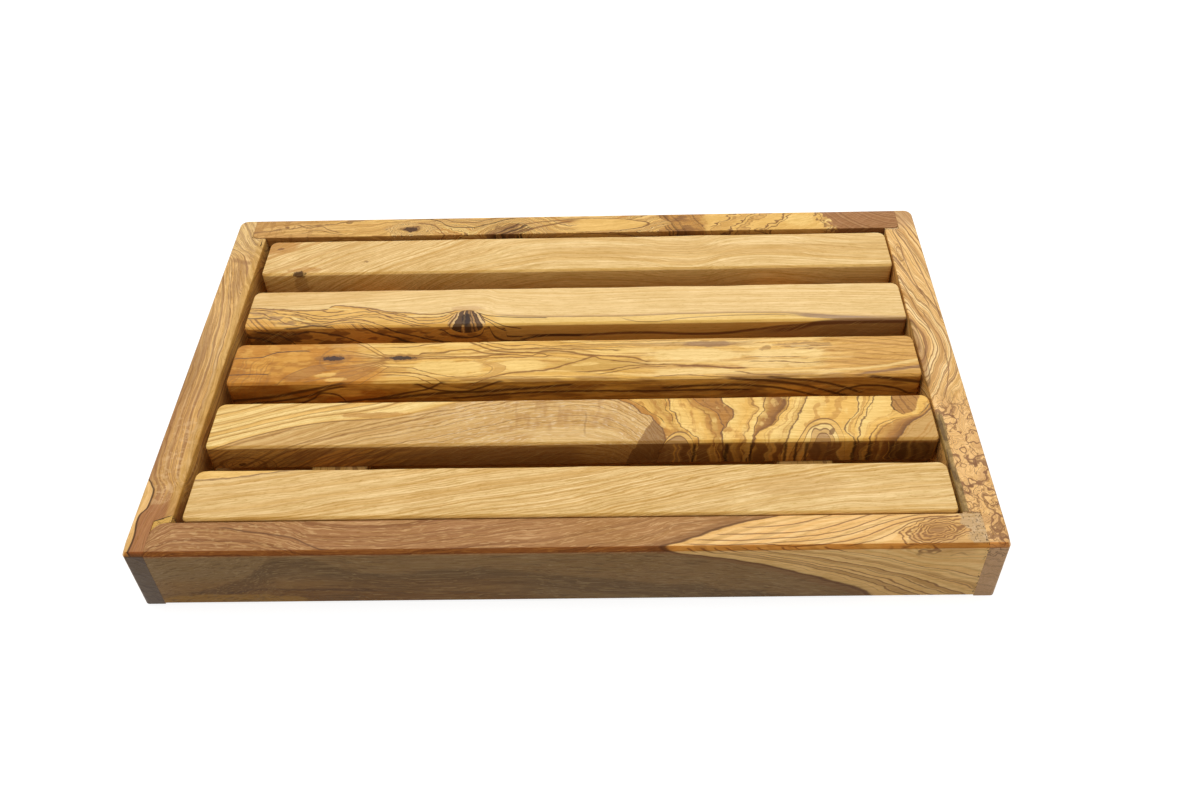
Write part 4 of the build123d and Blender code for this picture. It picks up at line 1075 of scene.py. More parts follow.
def wood_side_rail_right():
    wood = side_figure("side_rail_right", "gold", 1, 8.0)
    burl = wood.y.rise(-22, -44)
    wobble = wood.noise((9, 34, 9), 2.0) * 3.0 + wood.noise((2.4, 7, 2.4), 2.0) * 0.5
    swirl = wood.noise((11, 15, 11), 3.0, 22.0) * 16.0 * burl
    lay = wood.path((-126, -60), (-60, -24), (-30, -6), (-10, 4), (10, 9), (30, 4), (50, -3), (70, -9),
            (90, -14), (126, -26))
    grain = wood.across + lay + wobble + swirl
    brown, tawny = (0.34, 0.165, 0.065), (0.80, 0.46, 0.168)
    base = (0.93, 0.595, 0.245)
    level = wood.rings(grain, 4.0, 2.0, 2.0)
    wood.coat(wood.bands(level, (-0.5, (0.97, 0.69, 0.33)), (-0.1, base), (0.10, (0.92, 0.56, 0.21)),
            (0.26, tawny), (0.5, (0.60, 0.32, 0.11))), 0.95)
    wood.coat_rings((0.66, 0.365, 0.125), 0.5, grain, 1.6, 12.0, 2.0, 0.06, 0.28)
    wood.coat_lines(brown, 0.85, grain, 3.2, 9.0, 1.0, 0.0, 0.055)
    wood.coat_lines(brown, 0.85, grain, 4.6, 17.0, 1.0, 0.10, 0.04)
    wood.coat((0.91, 0.535, 0.205), burl * 0.75)
    drift = (wood.across + wood.y * 0.5) * 0.12
    patches = wood.noise((12, 15, 12), 3.0, 24.0)
    wood.coat((0.68, 0.37, 0.14), burl * patches.rise(0.08, 0.24) * 0.7)
    dark = (0.27, 0.125, 0.055)
    wood.coat(dark, burl * wood.rings(drift + patches * 2.4, 0.45, 34.0, 1.0).line(0.05, 0.1) * 0.85)
    wood.coat(dark, burl * wood.noise((10, 12, 10), 2.0, 25.0).line(0.10, 0.05) * 0.9)
    wood.coat(brown, burl * wood.noise((7, 9, 7), 2.0, 28.0).line(-0.12, 0.045) * 0.8)
    inner_eye = wood.oval(2, 18.5, 26, 4.0) + wobble * 0.05
    wood.coat(brown, inner_eye.rise(1.0, 0.7) * 0.6)
    wood.coat("vein", inner_eye.line(0.95, 0.12) * 0.5)
    ring = wood.oval(83, 13.6, 7.4, 1.9) + wood.noise((3, 4, 3), 2.0, 29.0) * 0.5
    wood.coat(brown, wood.rings(ring, 0.42, 30.0, 1.0).line(0.0, 0.11) * ring.rise(2.0, 1.3) * 0.85)
    wood.waver = wobble * 0.4
    wood.strokes(brown, [
        (0.5, (40, 6), (54, 8.6), (66, 10.4), (80, 11.6), (94, 12), (104, 13.5)),
        (0.6, (30, 1.5), (50, 2.6), (70, 4.6), (88, 7.6), (100, 10.6), (110, 12.5)),
        (0.5, (20, 9), (34, 12), (48, 14.6), (60, 16.4)),
        (0.5, (-30, 10), (-20, 7), (-6, 4.8), (8, 4.6), (20, 6.4), (30, 9.4)),
    ])
    wood.coat((0.50, 0.27, 0.115), (wood.y + wobble * 2.0).rise(104, 114) * 0.7)
    strip = (wood.across + wood.noise((3, 12, 3), 2.0, 31.0) * 1.6).rise(14.8, 15.6) * wood.y.within(-106,
            -46, 6)
    wood.coat((0.27, 0.175, 0.06), strip * 0.8)
    wood.coat((0.10, 0.055, 0.025), strip * wood.noise((3, 14, 3), 2.0, 32.0).rise(0.0, 0.2) * 0.7)
    # Painted shade: the inner face, down in the box, is darkened.
    wood.stain((0.90, 0.82, 0.55), wood.facing_x.rise(-0.5, -0.8) * 0.9)
    front_end(wood, (0.61, 0.365, 0.19), True)
    return wood.finish(grain, fibre=0.36)


def wood_back_rail():
    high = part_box("back_rail")[1]
    wood = Figure("back_rail_wood", "gold", 9.0)
    outward = high.y / MM - wood.y
    wood.across = outward + (wood.z - high.z / MM)
    wobble = wood.noise((9, 7, 7), 2.0) * 2.0 + wood.noise((2.2, 2.0, 2.0), 2.0) * 0.5
    wood.waver = wobble * 0.4
    eye = wood.hump(-96, 11, 15, 7, 1.0)
    dip = wood.hump(-68, 6, 14, 9, 8.0)
    rush = wood.hump(-42, 12, 13, 8, 9.0)
    lay = wood.path((-192, 0), (-150, 2), (-110, 2), (-78, 8), (-60, 6), (-40, 14), (-20, 6), (0, -4),
            (30, 0), (60, 10), (100, 18), (140, 30), (192, 60))
    grain = wood.across + lay + dip + rush + eye * 12.0 + wobble * 1.4
    flat = wood.x.within(-190, -112, 6)
    wood.coat(contours(wood, grain * 0.26, 6.0, 1.3), 0.92)
    wood.coat((0.80, 0.475, 0.14), flat * 0.85)
    wood.coat_rings("amber", 0.5, grain, 3.0, 16.0, 2.0, 0.0, 0.3)
    wood.coat((0.60, 0.32, 0.10), (wood.x + wobble * 3.0).rise(-140, -162) * 0.8)
    wood.blot((0.84, 0.52, 0.18), 0.6, -158, 9, 26, 5, 0.6, 9.0)
    hatch = wood.noise((2.6, 9, 9), 2.0, 12.0).rise(0.02, 0.24)
    wood.coat((0.42, 0.20, 0.055), hatch * wood.x.rise(-140, -165) * 0.55)
    wood.coat((0.50, 0.25, 0.065), flat * wood.rings(grain + wood.x * 0.1, 2.4, 17.0, 2.0).rise(0.04, 0.26) *
            0.65)
    wood.coat("brown", flat * wood.rings(grain + wood.x * 0.14, 3.6, 27.0, 1.0).line(0.0, 0.05) * 0.7)
    brown = "brown"
    wood.stroke(brown, 0.8, (-164, 5), (-158, 8), (-152, 6.5), (-146, 10), (-140, 12.5), share=0.75, fade=3.0)
    wood.stroke(brown, 0.6, (-160, 13), (-152, 10.6), (-146, 12.6), (-138, 14.5), share=0.7, fade=3.0)
    wood.blot(brown, 0.8, -171, 7, 1.4, 0.9, 0.6, 1.0)
    rings = wood.oval(-96, 10.5, 15.5, 6.4) + wood.noise((4, 3, 3), 2.0, 18.0) * 0.35
    wood.coat(contours(wood, rings * 4.2, 7.0, 1.3), rings.rise(1.1, 1.0))
    wood.coat(brown, rings.rise(0.62, 0.3) * 0.7)
    wood.blot("vein", 0.9, -96.5, 11.0, 4.2, 2.4, 0.9, 2.0)
    wood.stroke(brown, 0.9, (-92, 5), (-84, 7), (-80, 11), (-77, 16), (-74, 19), fade=2.0)
    wood.stroke("vein", 0.7, (-86, 1), (-80, 3.5), (-76, 7.5), (-70, 9.6), (-62, 10), (-54, 8), (-46, 5),
            (-38, 2), share=0.8)
    wood.stroke(brown, 0.7, (-96, 0.5), (-80, 0.8), (-70, 4.6), (-62, 5), (-52, 3.0), (-44, 0.6), share=0.75)
    wood.blot(brown, 0.6, -41, 13, 9, 5.0, 0.9, 4.0, -0.9)
    swirls = wood.rings(wood.x * 0.55 + outward * 0.85 + wobble * 0.8, 1.5, 53.0, 1.0)
    wood.coat("vein", swirls.line(0.0, 0.12) * wood.spot(-40, 11, 15, 7.5, 0.5, 5.0) * 0.85)
    wood.coat(brown, (outward - wood.path((-192, 30), (-42, 18), (-30, 14), (-15, 9), (0, 5), (10, 3.5),
            (192, 0)) + wobble * 0.3).line(0.0, 1.3) * wood.x.within(-40, 4, 6) * 0.8)
    wood.coat(brown, (outward - wood.path((-192, 30), (-50, 17), (-38, 10), (-24, 6.4), (-8, 4.4), (0, 3.6),
            (192, 0)) + wobble * 0.3).line(0.0, 0.8) * wood.x.within(-48, 2, 6) * 0.8)
    tip = wood.oval(10, 9.5, 35, 6.5) + wobble * 0.03
    wood.coat("gold", tip.rise(1.0, 0.9) * wood.x.rise(-4, 6) * 0.9)
    wood.coat(brown, tip.line(0.97, 0.05) * wood.x.rise(-4, 6) * 0.85)
    upper = wood.across.rise(-22, -3)
    murk = (wood.x + wobble * 2.2 + abs(outward - 9.0) * 1.1).rise(56, 59) * (wood.x + wobble * 2.0).rise(82,
            79) * upper
    wood.coat("amber", murk * 0.75)
    wood.coat(brown, murk * wood.noise((12, 6, 6), 2.0, 44.0).rise(-0.1, 0.2) * 0.75)
    wood.coat("vein", murk * wood.rings(wood.x - outward * 0.5 + wobble, 2.4, 45.0).line(0.0, 0.06) * 0.6)
    jag = wood.x + wood.across * 1.1 + wood.noise((9, 6, 6), 2.0, 47.0) * 13.0
    veined = wood.x.within(82, 128, 3) * wood.across.rise(-9, -1)
    wood.coat((0.88, 0.53, 0.15), (wood.x + wobble * 3.0).within(80, 144, 5) * upper * 0.8)
    wood.blot((0.95, 0.64, 0.22), 0.6, 133, 8, 9, 6, 0.5, 6.0)
    for place, half in ((94, 1.6), (98, 1.2), (107, 1.4), (113, 1.8), (117, 1.2), (127, 1.6), (131, 1.2)):
        wood.coat(brown, jag.line(place, half) * veined * 0.9)
    wood.coat((0.66, 0.36, 0.10), (jag.within(98, 104, 1.5) + jag.within(113, 117, 1.0)) * veined * 0.7)
    ragged = wood.x + wood.noise((3, 3.4, 3.4), 2.0, 49.0) * 7.0 - (wood.across - 8) * 0.35
    wood.coat(brown, ragged.line(146, 1.0) * 0.8)
    wood.coat((0.37, 0.165, 0.063), ragged.rise(149.4, 151) * 0.95)
    arcs = wood.rings(wood.oval(196, -24, 10, 10) + wobble * 0.05, 0.15, 50.0, 2.0)
    wood.coat(brown, ragged.rise(149.4, 151) * arcs.rise(0.0, 0.3) * 0.5)
    wood.coat((0.52, 0.28, 0.12), ragged.rise(149.4, 151) * arcs.rise(-0.08, -0.25) * 0.5)
    # Painted shade: the inner face, facing into the box, is darkened.
    wood.stain((0.55, 0.42, 0.25), wood.facing_y.rise(-0.5, -0.8) * 0.8)
    return wood.finish(grain, fibre=0.36)


def wood_plain(name, along, deep_tone, seed):
    """Quieter boards that are hardly seen: the floor and the battens."""
    wood = Figure(name, "honey", seed)
    wood.along, wood.across = (wood.x, wood.y) if along == "x" else (wood.y, wood.x)
    stretch = (50, 14, 14) if along == "x" else (14, 50, 14)
    grain = wood.across + wood.z * 1.4 + wood.along * 0.05 + wood.noise(stretch, 2.0) * 8.0
    wood.coat_rings(deep_tone, 0.6, grain, 9.0, 1.0, 2.0, -0.15, 0.3)
    wood.coat_lines("brown", 0.7, grain, 7.0, 5.0, 1.0, 0.0, 0.04)
    wood.coat_rings("tan", 0.4, grain, 1.6, 8.0, 2.0, 0.05, 0.3)
    return wood.finish(grain, gloss=0.55)


def filler_putty(name, tone):
    """Glue and wood dust, dried: dull, with dark cracks and flecks."""
    wood = Figure(name, tone)
    lumps = wood.noise((1.6, 1.6, 1.6), 3.0)
    wood.coat("honey", wood.noise((5, 5, 5), 2.0, 3.0).rise(-0.1, 0.3) * 0.6)
    wood.coat("brown", wood.noise((0.7, 0.7, 0.7), 2.0, 6.0).rise(0.12, 0.4) * 0.7)
    wood.coat("vein", wood.noise((2.5, 2.5, 6.0), 2.0, 9.0).line(0.0, 0.05) * 0.7)
    return wood.finish(lumps, fibre=0.06, gloss=0.7, relief=lumps)


def screw_metal():
    """Zinc-plated steel, a little dulled."""
    wood = Figure("screw_zinc", (0.60, 0.59, 0.56))
    bsdf = wood.add("ShaderNodeBsdfPrincipled")
    bsdf.inputs["Metallic"].default_value = 1.0
    dull = wood.noise((1.5, 1.5, 1.5), 3.0)
    wood.shade(dull * 0.25)
    wood.feed(bsdf.inputs["Base Color"], wood.colour)
    wood.feed(bsdf.inputs["Roughness"], 0.34 + dull * 0.2)
    output = wood.add("ShaderNodeOutputMaterial")
    wood.tree.links.new(bsdf.outputs[0], output.inputs["Surface"])
    return wood.material


def dowel_beech():
    wood = Figure("dowel_beech", (0.60, 0.42, 0.26))
    wood.coat((0.45, 0.28, 0.15), wood.noise((9.0, 0.5, 0.5), 2.0).rise(0.1, 0.5) * 0.5)
    return wood.finish(wood.y, gloss=0.6)


# Modelling


def activate(piece):
    bpy.ops.object.select_all(action="DESELECT")
    piece.select_set(True)
    bpy.context.view_layer.objects.active = piece


def block(name, low, high):
    """A box from corner to corner, with its place in its mesh."""
    low, high = Vector(low), Vector(high)
    bpy.ops.object.select_all(action="DESELECT")
    bpy.ops.mesh.primitive_cube_add(size=1, location=(low + high) / 2, scale=high - low)
    bpy.ops.object.transform_apply(location=True, rotation=True, scale=True)
    piece = bpy.context.object
    piece.name = name
    return piece


def near(value, target, slack=TOLERANCE):
    return abs(value - target) < slack


def ends_at(**places):
    """A test for edges with both ends at the given places, such as ends_at(z=0.038)."""
    return lambda a, b: all(near(getattr(v, axis), place) for v in (a, b) for axis, place in places.items())


def pick(piece, kind, test):
    """Enters edit mode with only the edges or points selected that pass the test."""
    activate(piece)
    bpy.ops.object.mode_set(mode="EDIT")
    bpy.ops.mesh.select_mode(type=kind)
    bpy.ops.mesh.select_all(action="DESELECT")
    mesh = bmesh.from_edit_mesh(piece.data)
    for part in mesh.edges if kind == "EDGE" else mesh.verts:
        part.select_set(test(part))
    bmesh.update_edit_mesh(piece.data)


def bevel_edges(piece, test, size, segments=1):
    """Bevels the edges whose two ends pass the test."""
    pick(piece, "EDGE", lambda edge: test(edge.verts[0].co, edge.verts[1].co))
    bpy.ops.mesh.bevel(offset=size, offset_type="OFFSET", segments=segments, affect="EDGES")
    bpy.ops.object.mode_set(mode="OBJECT")


def carve(piece, cutter):
    """Cuts the cutter's shape out of the piece."""
    activate(piece)
    cut = piece.modifiers.new("cut", "BOOLEAN")
    cut.object = cutter
    cut.solver = "EXACT"
    bpy.ops.object.modifier_apply(modifier=cut.name)
    bpy.data.objects.remove(cutter)


def drill(piece, centre, radius, depth):
    """A round blind hole along x: centre is the middle of its length."""
    turn = (0, math.radians(90), 0)
    bpy.ops.object.select_all(action="DESELECT")
    bpy.ops.mesh.primitive_cylinder_add(vertices=32, radius=radius, depth=depth, location=centre,
            rotation=turn)
    bpy.ops.object.transform_apply(location=True, rotation=True, scale=True)
    carve(piece, bpy.context.object)


def cross_cuts(piece, axis, start, stop, step):
    """Cuts the faces across every step, so that long edges can wander."""
    activate(piece)
    bpy.ops.object.mode_set(mode="EDIT")
    count = max(1, round((stop - start) / step))
    normal = [1.0 if i == axis else 0.0 for i in range(3)]
    for i in range(count + 1):
        place = [0.0, 0.0, 0.0]
        place[axis] = start + (stop - start) * i / count
        bpy.ops.mesh.select_all(action="SELECT")
        bpy.ops.mesh.bisect(plane_co=place, plane_no=normal)
    bpy.ops.object.mode_set(mode="OBJECT")


def wander(piece, test, axis, reach, size, middle=0.0):
    """Moves the points that pass the test along an axis, unevenly, in waves of a size, as hand work does."""
    activate(piece)
    group = piece.vertex_groups.new(name="worked")
    group.add([v.index for v in piece.data.vertices if test(v.co)], 1.0, "REPLACE")
    texture = bpy.data.textures.new(piece.name + "_unevenness", "CLOUDS")
    texture.noise_scale = size
    push = piece.modifiers.new("uneven", "DISPLACE")
    push.texture = texture
    push.texture_coords = "LOCAL"
    push.direction = axis
    push.mid_level = middle
    push.strength = reach
    push.vertex_group = group.name
    bpy.ops.object.modifier_apply(modifier=push.name)
    piece.vertex_groups.clear()
    bpy.data.textures.remove(texture)


def soften(piece, size):
    """Rounds every arris a little and shades the faces smooth."""
    activate(piece)
    bevel = piece.modifiers.new("soft", "BEVEL")
    bevel.width = size
    bevel.segments = 2
    bevel.limit_method = "ANGLE"
    bevel.angle_limit = math.radians(24)
    bevel.use_clamp_overlap = True
    bpy.ops.object.modifier_apply(modifier=bevel.name)
    bpy.ops.object.shade_smooth_by_angle(angle=math.radians(38))


def dress(piece, material, body, node):
    """Gives a finished piece its material and its body, and hides the node it stands for."""
    piece.data.materials.clear()
    piece.data.materials.append(material)
    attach(piece, body)
    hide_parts(node)


def corner(end, side):
    """Names a corner: end is -1 in front and 1 at the back, side -1 at the left and 1 at the right."""
    return ("front_" if end < 0 else "back_") + ("left" if side < 0 else "right")


def pull(piece, test, reach):
    """Moves the points that pass the test."""
    pick(piece, "VERT", lambda vertex: test(vertex.co))
    bpy.ops.transform.translate(value=reach)
    bpy.ops.object.mode_set(mode="OBJECT")


def dowel_holes(piece, side, end):
    """Bores the two holes of a corner joint, with a little room round the dowels."""
    low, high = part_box("dowels_" + corner(end, side))
    radius = (high.y - low.y) / 2
    for level in (low.z + radius, high.z - radius):
        centre = ((low.x + high.x) / 2, (low.y + high.y) / 2, level)
        drill(piece, centre, radius + DOWEL_PLAY, high.x - low.x + DOWEL_END_PLAY)


def build_slat(node, material):
    sizes = bpy.context.scene.board_sizes
    low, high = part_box(node)
    slat = block(node + "_worn", low, high)
    middle = (low + high) / 2
    bevel_edges(slat, lambda a, b: near(a.x, b.x) and near(a.y, b.y) and a.y > middle.y,
            sizes.slat_back_round, 5)
    bevel_edges(slat, lambda a, b: near(a.x, b.x) and near(a.y, b.y) and near(a.y, low.y) and
            abs(a.z - b.z) > 0.01, sizes.slat_front_round, 4)
    bevel_edges(slat, ends_at(z=high.z), sizes.slat_top_chamfer)
    bevel_edges(slat, ends_at(z=low.z), sizes.slat_bottom_round, 3)
    inset = sizes.slat_back_round + 1.5 * MM
    for side, end_x in ((-1, low.x), (1, high.x)):
        pull(slat, lambda v: near(v.z, high.z) and abs(v.x - end_x) < inset, (side * sizes.slat_end_crispness,
                0, 0))
    pull(slat, lambda v: near(v.z, high.z) and v.y > high.y - inset, (0, sizes.slat_back_crispness, 0))
    cross_cuts(slat, 0, low.x + inset, high.x - inset, CUT_STEP)
    inner = lambda v: low.x + inset - TOLERANCE < v.x < high.x - inset + TOLERANCE
    wander(slat, lambda v: near(v.z, high.z) and v.y < middle.y and inner(v), "Y", sizes.hand_wear,
            size=22 * MM, middle=0.45)
    wander(slat, lambda v: near(v.z, high.z) and v.y > middle.y and inner(v), "Y", sizes.hand_wear,
            size=26 * MM, middle=0.55)
    wander(slat, lambda v: near(v.y, low.y) and inner(v), "Y", sizes.sanding, size=40 * MM)
    wander(slat, lambda v: near(v.y, high.y) and inner(v), "Y", -sizes.sanding, size=40 * MM)
    soften(slat, sizes.arris_softening)
    dress(slat, material, "rack", node)
    return slat


def build_end_rail(node, end, material):
    """The front rail (end -1) or the back rail (end 1)."""
    sizes = bpy.context.scene.board_sizes
    low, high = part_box(node)
    rail = block(node + "_worn", low, high)
    inner_y, outer_y = (high.y, low.y) if end < 0 else (low.y, high.y)
    for side, x in ((-1, low.x), (1, high.x)):
        bevel_edges(rail, ends_at(x=x, y=inner_y), getattr(sizes, corner(end, side) + "_round"), 6)
    top_arris = sizes.edge_chamfer if end < 0 else sizes.side_arris
    bevel_edges(rail, ends_at(y=outer_y, z=high.z), top_arris)
    bevel_edges(rail, ends_at(y=outer_y, z=low.z), sizes.foot_arris)
    bevel_edges(rail, ends_at(y=inner_y, z=high.z), sizes.end_inner_round, 2)
    near_y, far_y = sorted((inner_y - end * LIP, inner_y + end * sizes.groove_depth))
    carve(rail, block("groove", (low.x - LIP, near_y, sizes.groove_low), (high.x + LIP, far_y,
            sizes.groove_high)))
    inset = 9 * MM
    cross_cuts(rail, 0, low.x + inset, high.x - inset, CUT_STEP)
    inner = lambda v: low.x + inset - TOLERANCE < v.x < high.x - inset + TOLERANCE
    wander(rail, lambda v: near(v.z, high.z) and near(v.y, outer_y - end * top_arris) and inner(v), "Y",
            -end * sizes.hand_wear * (1.2 if end < 0 else 0.3), size=30 * MM, middle=0.4)
    for side in (-1, 1):
        dowel_holes(rail, side, end)
    soften(rail, sizes.arris_softening)
    dress(rail, material, "tray", node)
    return rail


def build_side_rail(node, side, material):
    """The left rail (side -1) or the right rail (side 1), with a rebate at each end."""
    sizes = bpy.context.scene.board_sizes
    low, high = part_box(node)
    rail = block(node + "_worn", low, high)
    inner_x, outer_x = (high.x, low.x) if side < 0 else (low.x, high.x)
    for y, rounding in ((low.y, sizes.front_corner_round), (high.y, sizes.back_corner_round)):
        bevel_edges(rail, ends_at(x=outer_x, y=y), rounding, 5)
    front_part = low.y + sizes.front_corner_round + 0.1 * MM
    top, inside_top, foot = ends_at(z=high.z), ends_at(x=inner_x, z=high.z), ends_at(x=outer_x, z=low.z)
    bevel_edges(rail, lambda a, b: top(a, b) and max(a.y, b.y) < front_part, sizes.edge_chamfer)
    bevel_edges(rail, lambda a, b: top(a, b) and max(a.y, b.y) > front_part and not inside_top(a, b),
            sizes.side_arris)
    bevel_edges(rail, lambda a, b: foot(a, b) and abs(a.y - b.y) > 0.1, sizes.foot_chamfer)
    bevel_edges(rail, inside_top, sizes.side_inner_round, 4)
    for end, rail_name in ((-1, "front_rail"), (1, "back_rail")):
        rail_low, rail_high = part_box(rail_name)
        filler_low, filler_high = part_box("filler_" + corner(end, side))
        tongue_x = rail_low.x if side < 0 else rail_high.x
        rail_y = rail_high.y if end < 0 else rail_low.y
        filler_y = filler_high.y if end < 0 else filler_low.y
        tongue_y = rail_y - end * getattr(sizes, corner(end, side) + "_gap")
        xs = sorted((tongue_x, inner_x - side * LIP))
        outer_y = (low.y if end < 0 else high.y) + end * LIP
        ys = sorted((outer_y, tongue_y))
        cutter = block("rebate", (xs[0], ys[0], low.z - LIP), (xs[1], ys[1], high.z + LIP))
        run = abs(inner_x - tongue_x)
        pull(cutter, lambda v: near(v.y, tongue_y) and near(v.x, inner_x - side * LIP),
                (0, (filler_y - tongue_y) * (run + LIP) / run, 0))
        carve(rail, cutter)
    near_x, far_x = sorted((inner_x - side * LIP, inner_x + side * sizes.groove_depth))
    front_y, back_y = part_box("front_rail")[1].y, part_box("back_rail")[0].y
    carve(rail, block("groove", (near_x, front_y, sizes.groove_low), (far_x, back_y, sizes.groove_high)))
    inset, slack = 8 * MM, 0.1 * MM
    cross_cuts(rail, 1, front_y + inset, back_y - inset, CUT_STEP)
    inner = lambda v: front_y + inset - slack < v.y < back_y - inset + slack
    wander(rail, lambda v: near(v.z, high.z) and near(v.x, outer_x - side * sizes.side_arris) and inner(v),
            "X", -side * sizes.hand_wear * 0.3, size=30 * MM, middle=0.4)
    for end in (-1, 1):
        dowel_holes(rail, side, end)
    soften(rail, sizes.arris_softening)
    dress(rail, material, "tray", node)
    return rail


def build_filler(node, material):
    """Copies the filler's solid and gives it the lumpy, sunken skin of dried filler."""
    low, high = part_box(node)
    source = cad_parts[node]
    piece = bpy.data.objects.new(node + "_dried", source.data.copy())
    bpy.context.scene.collection.objects.link(piece)
    activate(piece)
    bpy.ops.object.mode_set(mode="EDIT")
    bpy.ops.mesh.select_all(action="SELECT")
    bpy.ops.mesh.remove_doubles(threshold=1e-6)
    bpy.ops.mesh.dissolve_limited(angle_limit=math.radians(1))
    bpy.ops.object.mode_set(mode="OBJECT")
    margin, lump = 0.2 * MM, 0.9 * MM
    for axis in range(3):
        cross_cuts(piece, axis, low[axis] + margin, high[axis] - margin, lump)
    wander(piece, lambda v: True, "NORMAL", -bpy.context.scene.board_sizes.filler_lumps, size=1.6 * MM)
    bpy.ops.object.shade_smooth_by_angle(angle=math.radians(50))
    dress(piece, material, "tray", node)
    return piece


# Operators


class BuildSideRails(bpy.types.Operator):
    """Model the left and right rails with their rebates, grooves and worn arrises"""

    bl_idname = "breadboard.side_rails"
    bl_label = "Side rails"

    def execute(self, context):
        build_side_rail("side_rail_left", -1, wood_side_rail_left())
        build_side_rail("side_rail_right", 1, wood_side_rail_right())
        return {"FINISHED"}


class BuildEndRails(bpy.types.Operator):
    """Model the front and back rails"""

    bl_idname = "breadboard.end_rails"
    bl_label = "Front and back rails"

    def execute(self, context):
        build_end_rail("front_rail", -1, wood_front_rail())
        build_end_rail("back_rail", 1, wood_back_rail())
        return {"FINISHED"}


class BuildFillers(bpy.types.Operator):
    """Model the filler in the four corner joints"""

    bl_idname = "breadboard.fillers"
    bl_label = "Corner filler"

    def execute(self, context):
        putty = filler_putty("filler_putty", "putty")
        yellower = filler_putty("filler_putty_yellow", (0.66, 0.38, 0.09))
        for node in sorted(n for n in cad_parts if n.startswith("filler")):
            build_filler(node, yellower if node == "filler_front_left" else putty)
        return {"FINISHED"}


class FinishFloor(bpy.types.Operator):
    """Finish the boards of the floor"""

    bl_idname = "breadboard.floor_boards"
    bl_label = "Floor boards"

    def execute(self, context):
        for node in sorted(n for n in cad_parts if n.startswith("floor_board")):
            paint(node, wood_plain(node + "_wood", "x", "amber", float(node[-1])))
        return {"FINISHED"}


class BuildSlats(bpy.types.Operator):
    """Model the five slats of the rack"""

    bl_idname = "breadboard.slats"
    bl_label = "Slats"

    def execute(self, context):
        woods = (wood_slat_1, wood_slat_2, wood_slat_3, wood_slat_4, wood_slat_5)
        for i, wood in enumerate(woods, 1):
            build_slat(f"slat_{i}", wood())
        return {"FINISHED"}


class FinishBattens(bpy.types.Operator):
    """Finish the battens, their screws and the dowels"""

    bl_idname = "breadboard.battens"
    bl_label = "Battens and fixings"

    def execute(self, context):
        for side in ("left", "right"):
            paint(f"batten_{side}", wood_plain(f"batten_{side}_wood", "y", "tan", float(len(side))))
        metal, beech = screw_metal(), dowel_beech()
        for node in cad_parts:
            if node.startswith("screws"):
                paint(node, metal)
            elif node.startswith("dowels"):
                paint(node, beech)
        return {"FINISHED"}


def paint(node, material):
    """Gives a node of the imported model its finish."""
    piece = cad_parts[node]
    for slot in piece.material_slots:
        slot.material = material


class BuildStage(bpy.types.Operator):
    """Lay the white floor, set the lamps and place the camera"""

    bl_idname = "breadboard.stage"
    bl_label = "Studio"

    def execute(self, context):
        light = context.scene.board_light
        bpy.ops.object.select_all(action="DESELECT")
        bpy.ops.mesh.primitive_plane_add(size=12, location=(0, 0, 0))
        floor = context.object
        floor.name = "studio_floor"
        floor.data.materials.append(floor_paper(light))
        white_world(context.scene, light)
        turn = Vector(KEY_PLACE).to_track_quat("Z", "Y").to_euler()
        bpy.ops.object.light_add(type="AREA", location=KEY_PLACE, rotation=turn)
        key = context.object
        key.name = "key"
        key.data.shape = "RECTANGLE"
        key.data.size, key.data.size_y = KEY_SIZE
        key.data.energy = light.key_power
        bpy.ops.object.camera_add(location=CAMERA_PLACE, rotation=[math.radians(a) for a in CAMERA_TURN])
        camera = context.object
        camera.name = "camera"
        camera.data.sensor_width = 36.0
        camera.data.lens = CAMERA_LENS
        context.scene.camera = camera
        context.scene.view_settings.view_transform = "Standard"
        return {"FINISHED"}


def seen_share(tree):
    """1 for rays from the camera, reflections and glass."""
    path = tree.nodes.new("ShaderNodeLightPath")
    most = None
    for name in ("Is Camera Ray", "Is Glossy Ray", "Is Transmission Ray"):
        if most is None:
            most = path.outputs[name]
            continue
        node = tree.nodes.new("ShaderNodeMath")
        node.operation = "MAXIMUM"
        tree.links.new(most, node.inputs[0])
        tree.links.new(path.outputs[name], node.inputs[1])
        most = node.outputs[0]
    return most


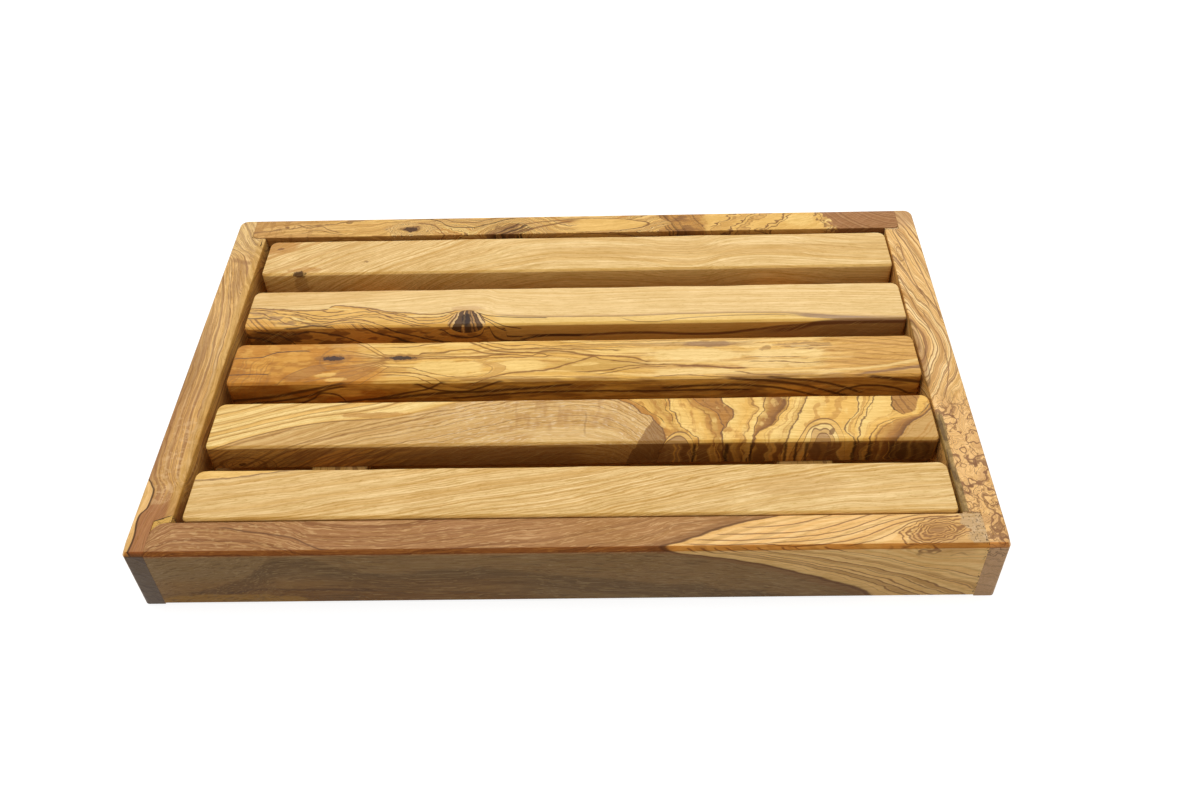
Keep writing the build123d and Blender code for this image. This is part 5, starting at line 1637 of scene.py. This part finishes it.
def floor_paper(light):
    """White paper: it keeps the board's shadow, and the camera sees the rest as white."""
    material = bpy.data.materials.new("studio_paper")
    material.use_nodes = True
    tree = material.node_tree
    tree.nodes.clear()
    diffuse = tree.nodes.new("ShaderNodeBsdfDiffuse")
    level = light.floor_level
    diffuse.inputs["Color"].default_value = (level, level, level, 1.0)
    glow = tree.nodes.new("ShaderNodeEmission")
    scaled = tree.nodes.new("ShaderNodeMath")
    scaled.operation = "MULTIPLY"
    tree.links.new(seen_share(tree), scaled.inputs[0])
    lit_share = 0.5  # how much of its level the light on the paper makes up
    scaled.inputs[1].default_value = light.background - level * lit_share
    tree.links.new(scaled.outputs[0], glow.inputs["Strength"])
    both = tree.nodes.new("ShaderNodeAddShader")
    tree.links.new(diffuse.outputs[0], both.inputs[0])
    tree.links.new(glow.outputs[0], both.inputs[1])
    output = tree.nodes.new("ShaderNodeOutputMaterial")
    tree.links.new(both.outputs[0], output.inputs["Surface"])
    return material


def white_world(scene, light):
    world = bpy.data.worlds.new("studio")
    world.use_nodes = True
    scene.world = world
    tree = world.node_tree
    sky = tree.nodes["Background"]
    sky.inputs["Color"].default_value = (1, 1, 1, 1)
    level = tree.nodes.new("ShaderNodeMapRange")
    tree.links.new(seen_share(tree), level.inputs["Value"])
    level.inputs["To Min"].default_value = light.sky_level
    level.inputs["To Max"].default_value = light.background
    tree.links.new(level.outputs["Result"], sky.inputs["Strength"])


class BreadBoardPanel(bpy.types.Panel):
    """Builds the board's pieces one by one"""

    bl_idname = "VIEW3D_PT_breadboard"
    bl_label = "Bread board"
    bl_space_type = "VIEW_3D"
    bl_region_type = "UI"
    bl_category = "Bread board"

    def draw(self, context):
        for operator in OPERATORS:
            self.layout.operator(operator.bl_idname)
        for group in ("board_sizes", "board_colours", "board_light"):
            box = self.layout.box()
            settings = getattr(context.scene, group)
            for name in settings.bl_rna.properties.keys():
                if name not in ("rna_type", "name"):
                    box.prop(settings, name)


SETTINGS = (BoardSizes, WoodColours, StudioLight)
OPERATORS = (BuildSideRails, BuildEndRails, BuildFillers, FinishFloor, BuildSlats, FinishBattens, BuildStage)


def register():
    for item in (*SETTINGS, *OPERATORS, BreadBoardPanel):
        bpy.utils.register_class(item)
    bpy.types.Scene.board_sizes = PointerProperty(type=BoardSizes)
    bpy.types.Scene.board_colours = PointerProperty(type=WoodColours)
    bpy.types.Scene.board_light = PointerProperty(type=StudioLight)


def unregister():
    for name in ("board_sizes", "board_colours", "board_light"):
        delattr(bpy.types.Scene, name)
    for item in (BreadBoardPanel, *reversed(OPERATORS), *reversed(SETTINGS)):
        bpy.utils.unregister_class(item)


def main():
    register()
    bpy.ops.breadboard.side_rails()
    bpy.ops.breadboard.end_rails()
    bpy.ops.breadboard.fillers()
    bpy.ops.breadboard.floor_boards()
    bpy.ops.breadboard.slats()
    bpy.ops.breadboard.battens()
    bpy.ops.breadboard.stage()


if __name__ == "__main__":
    main()
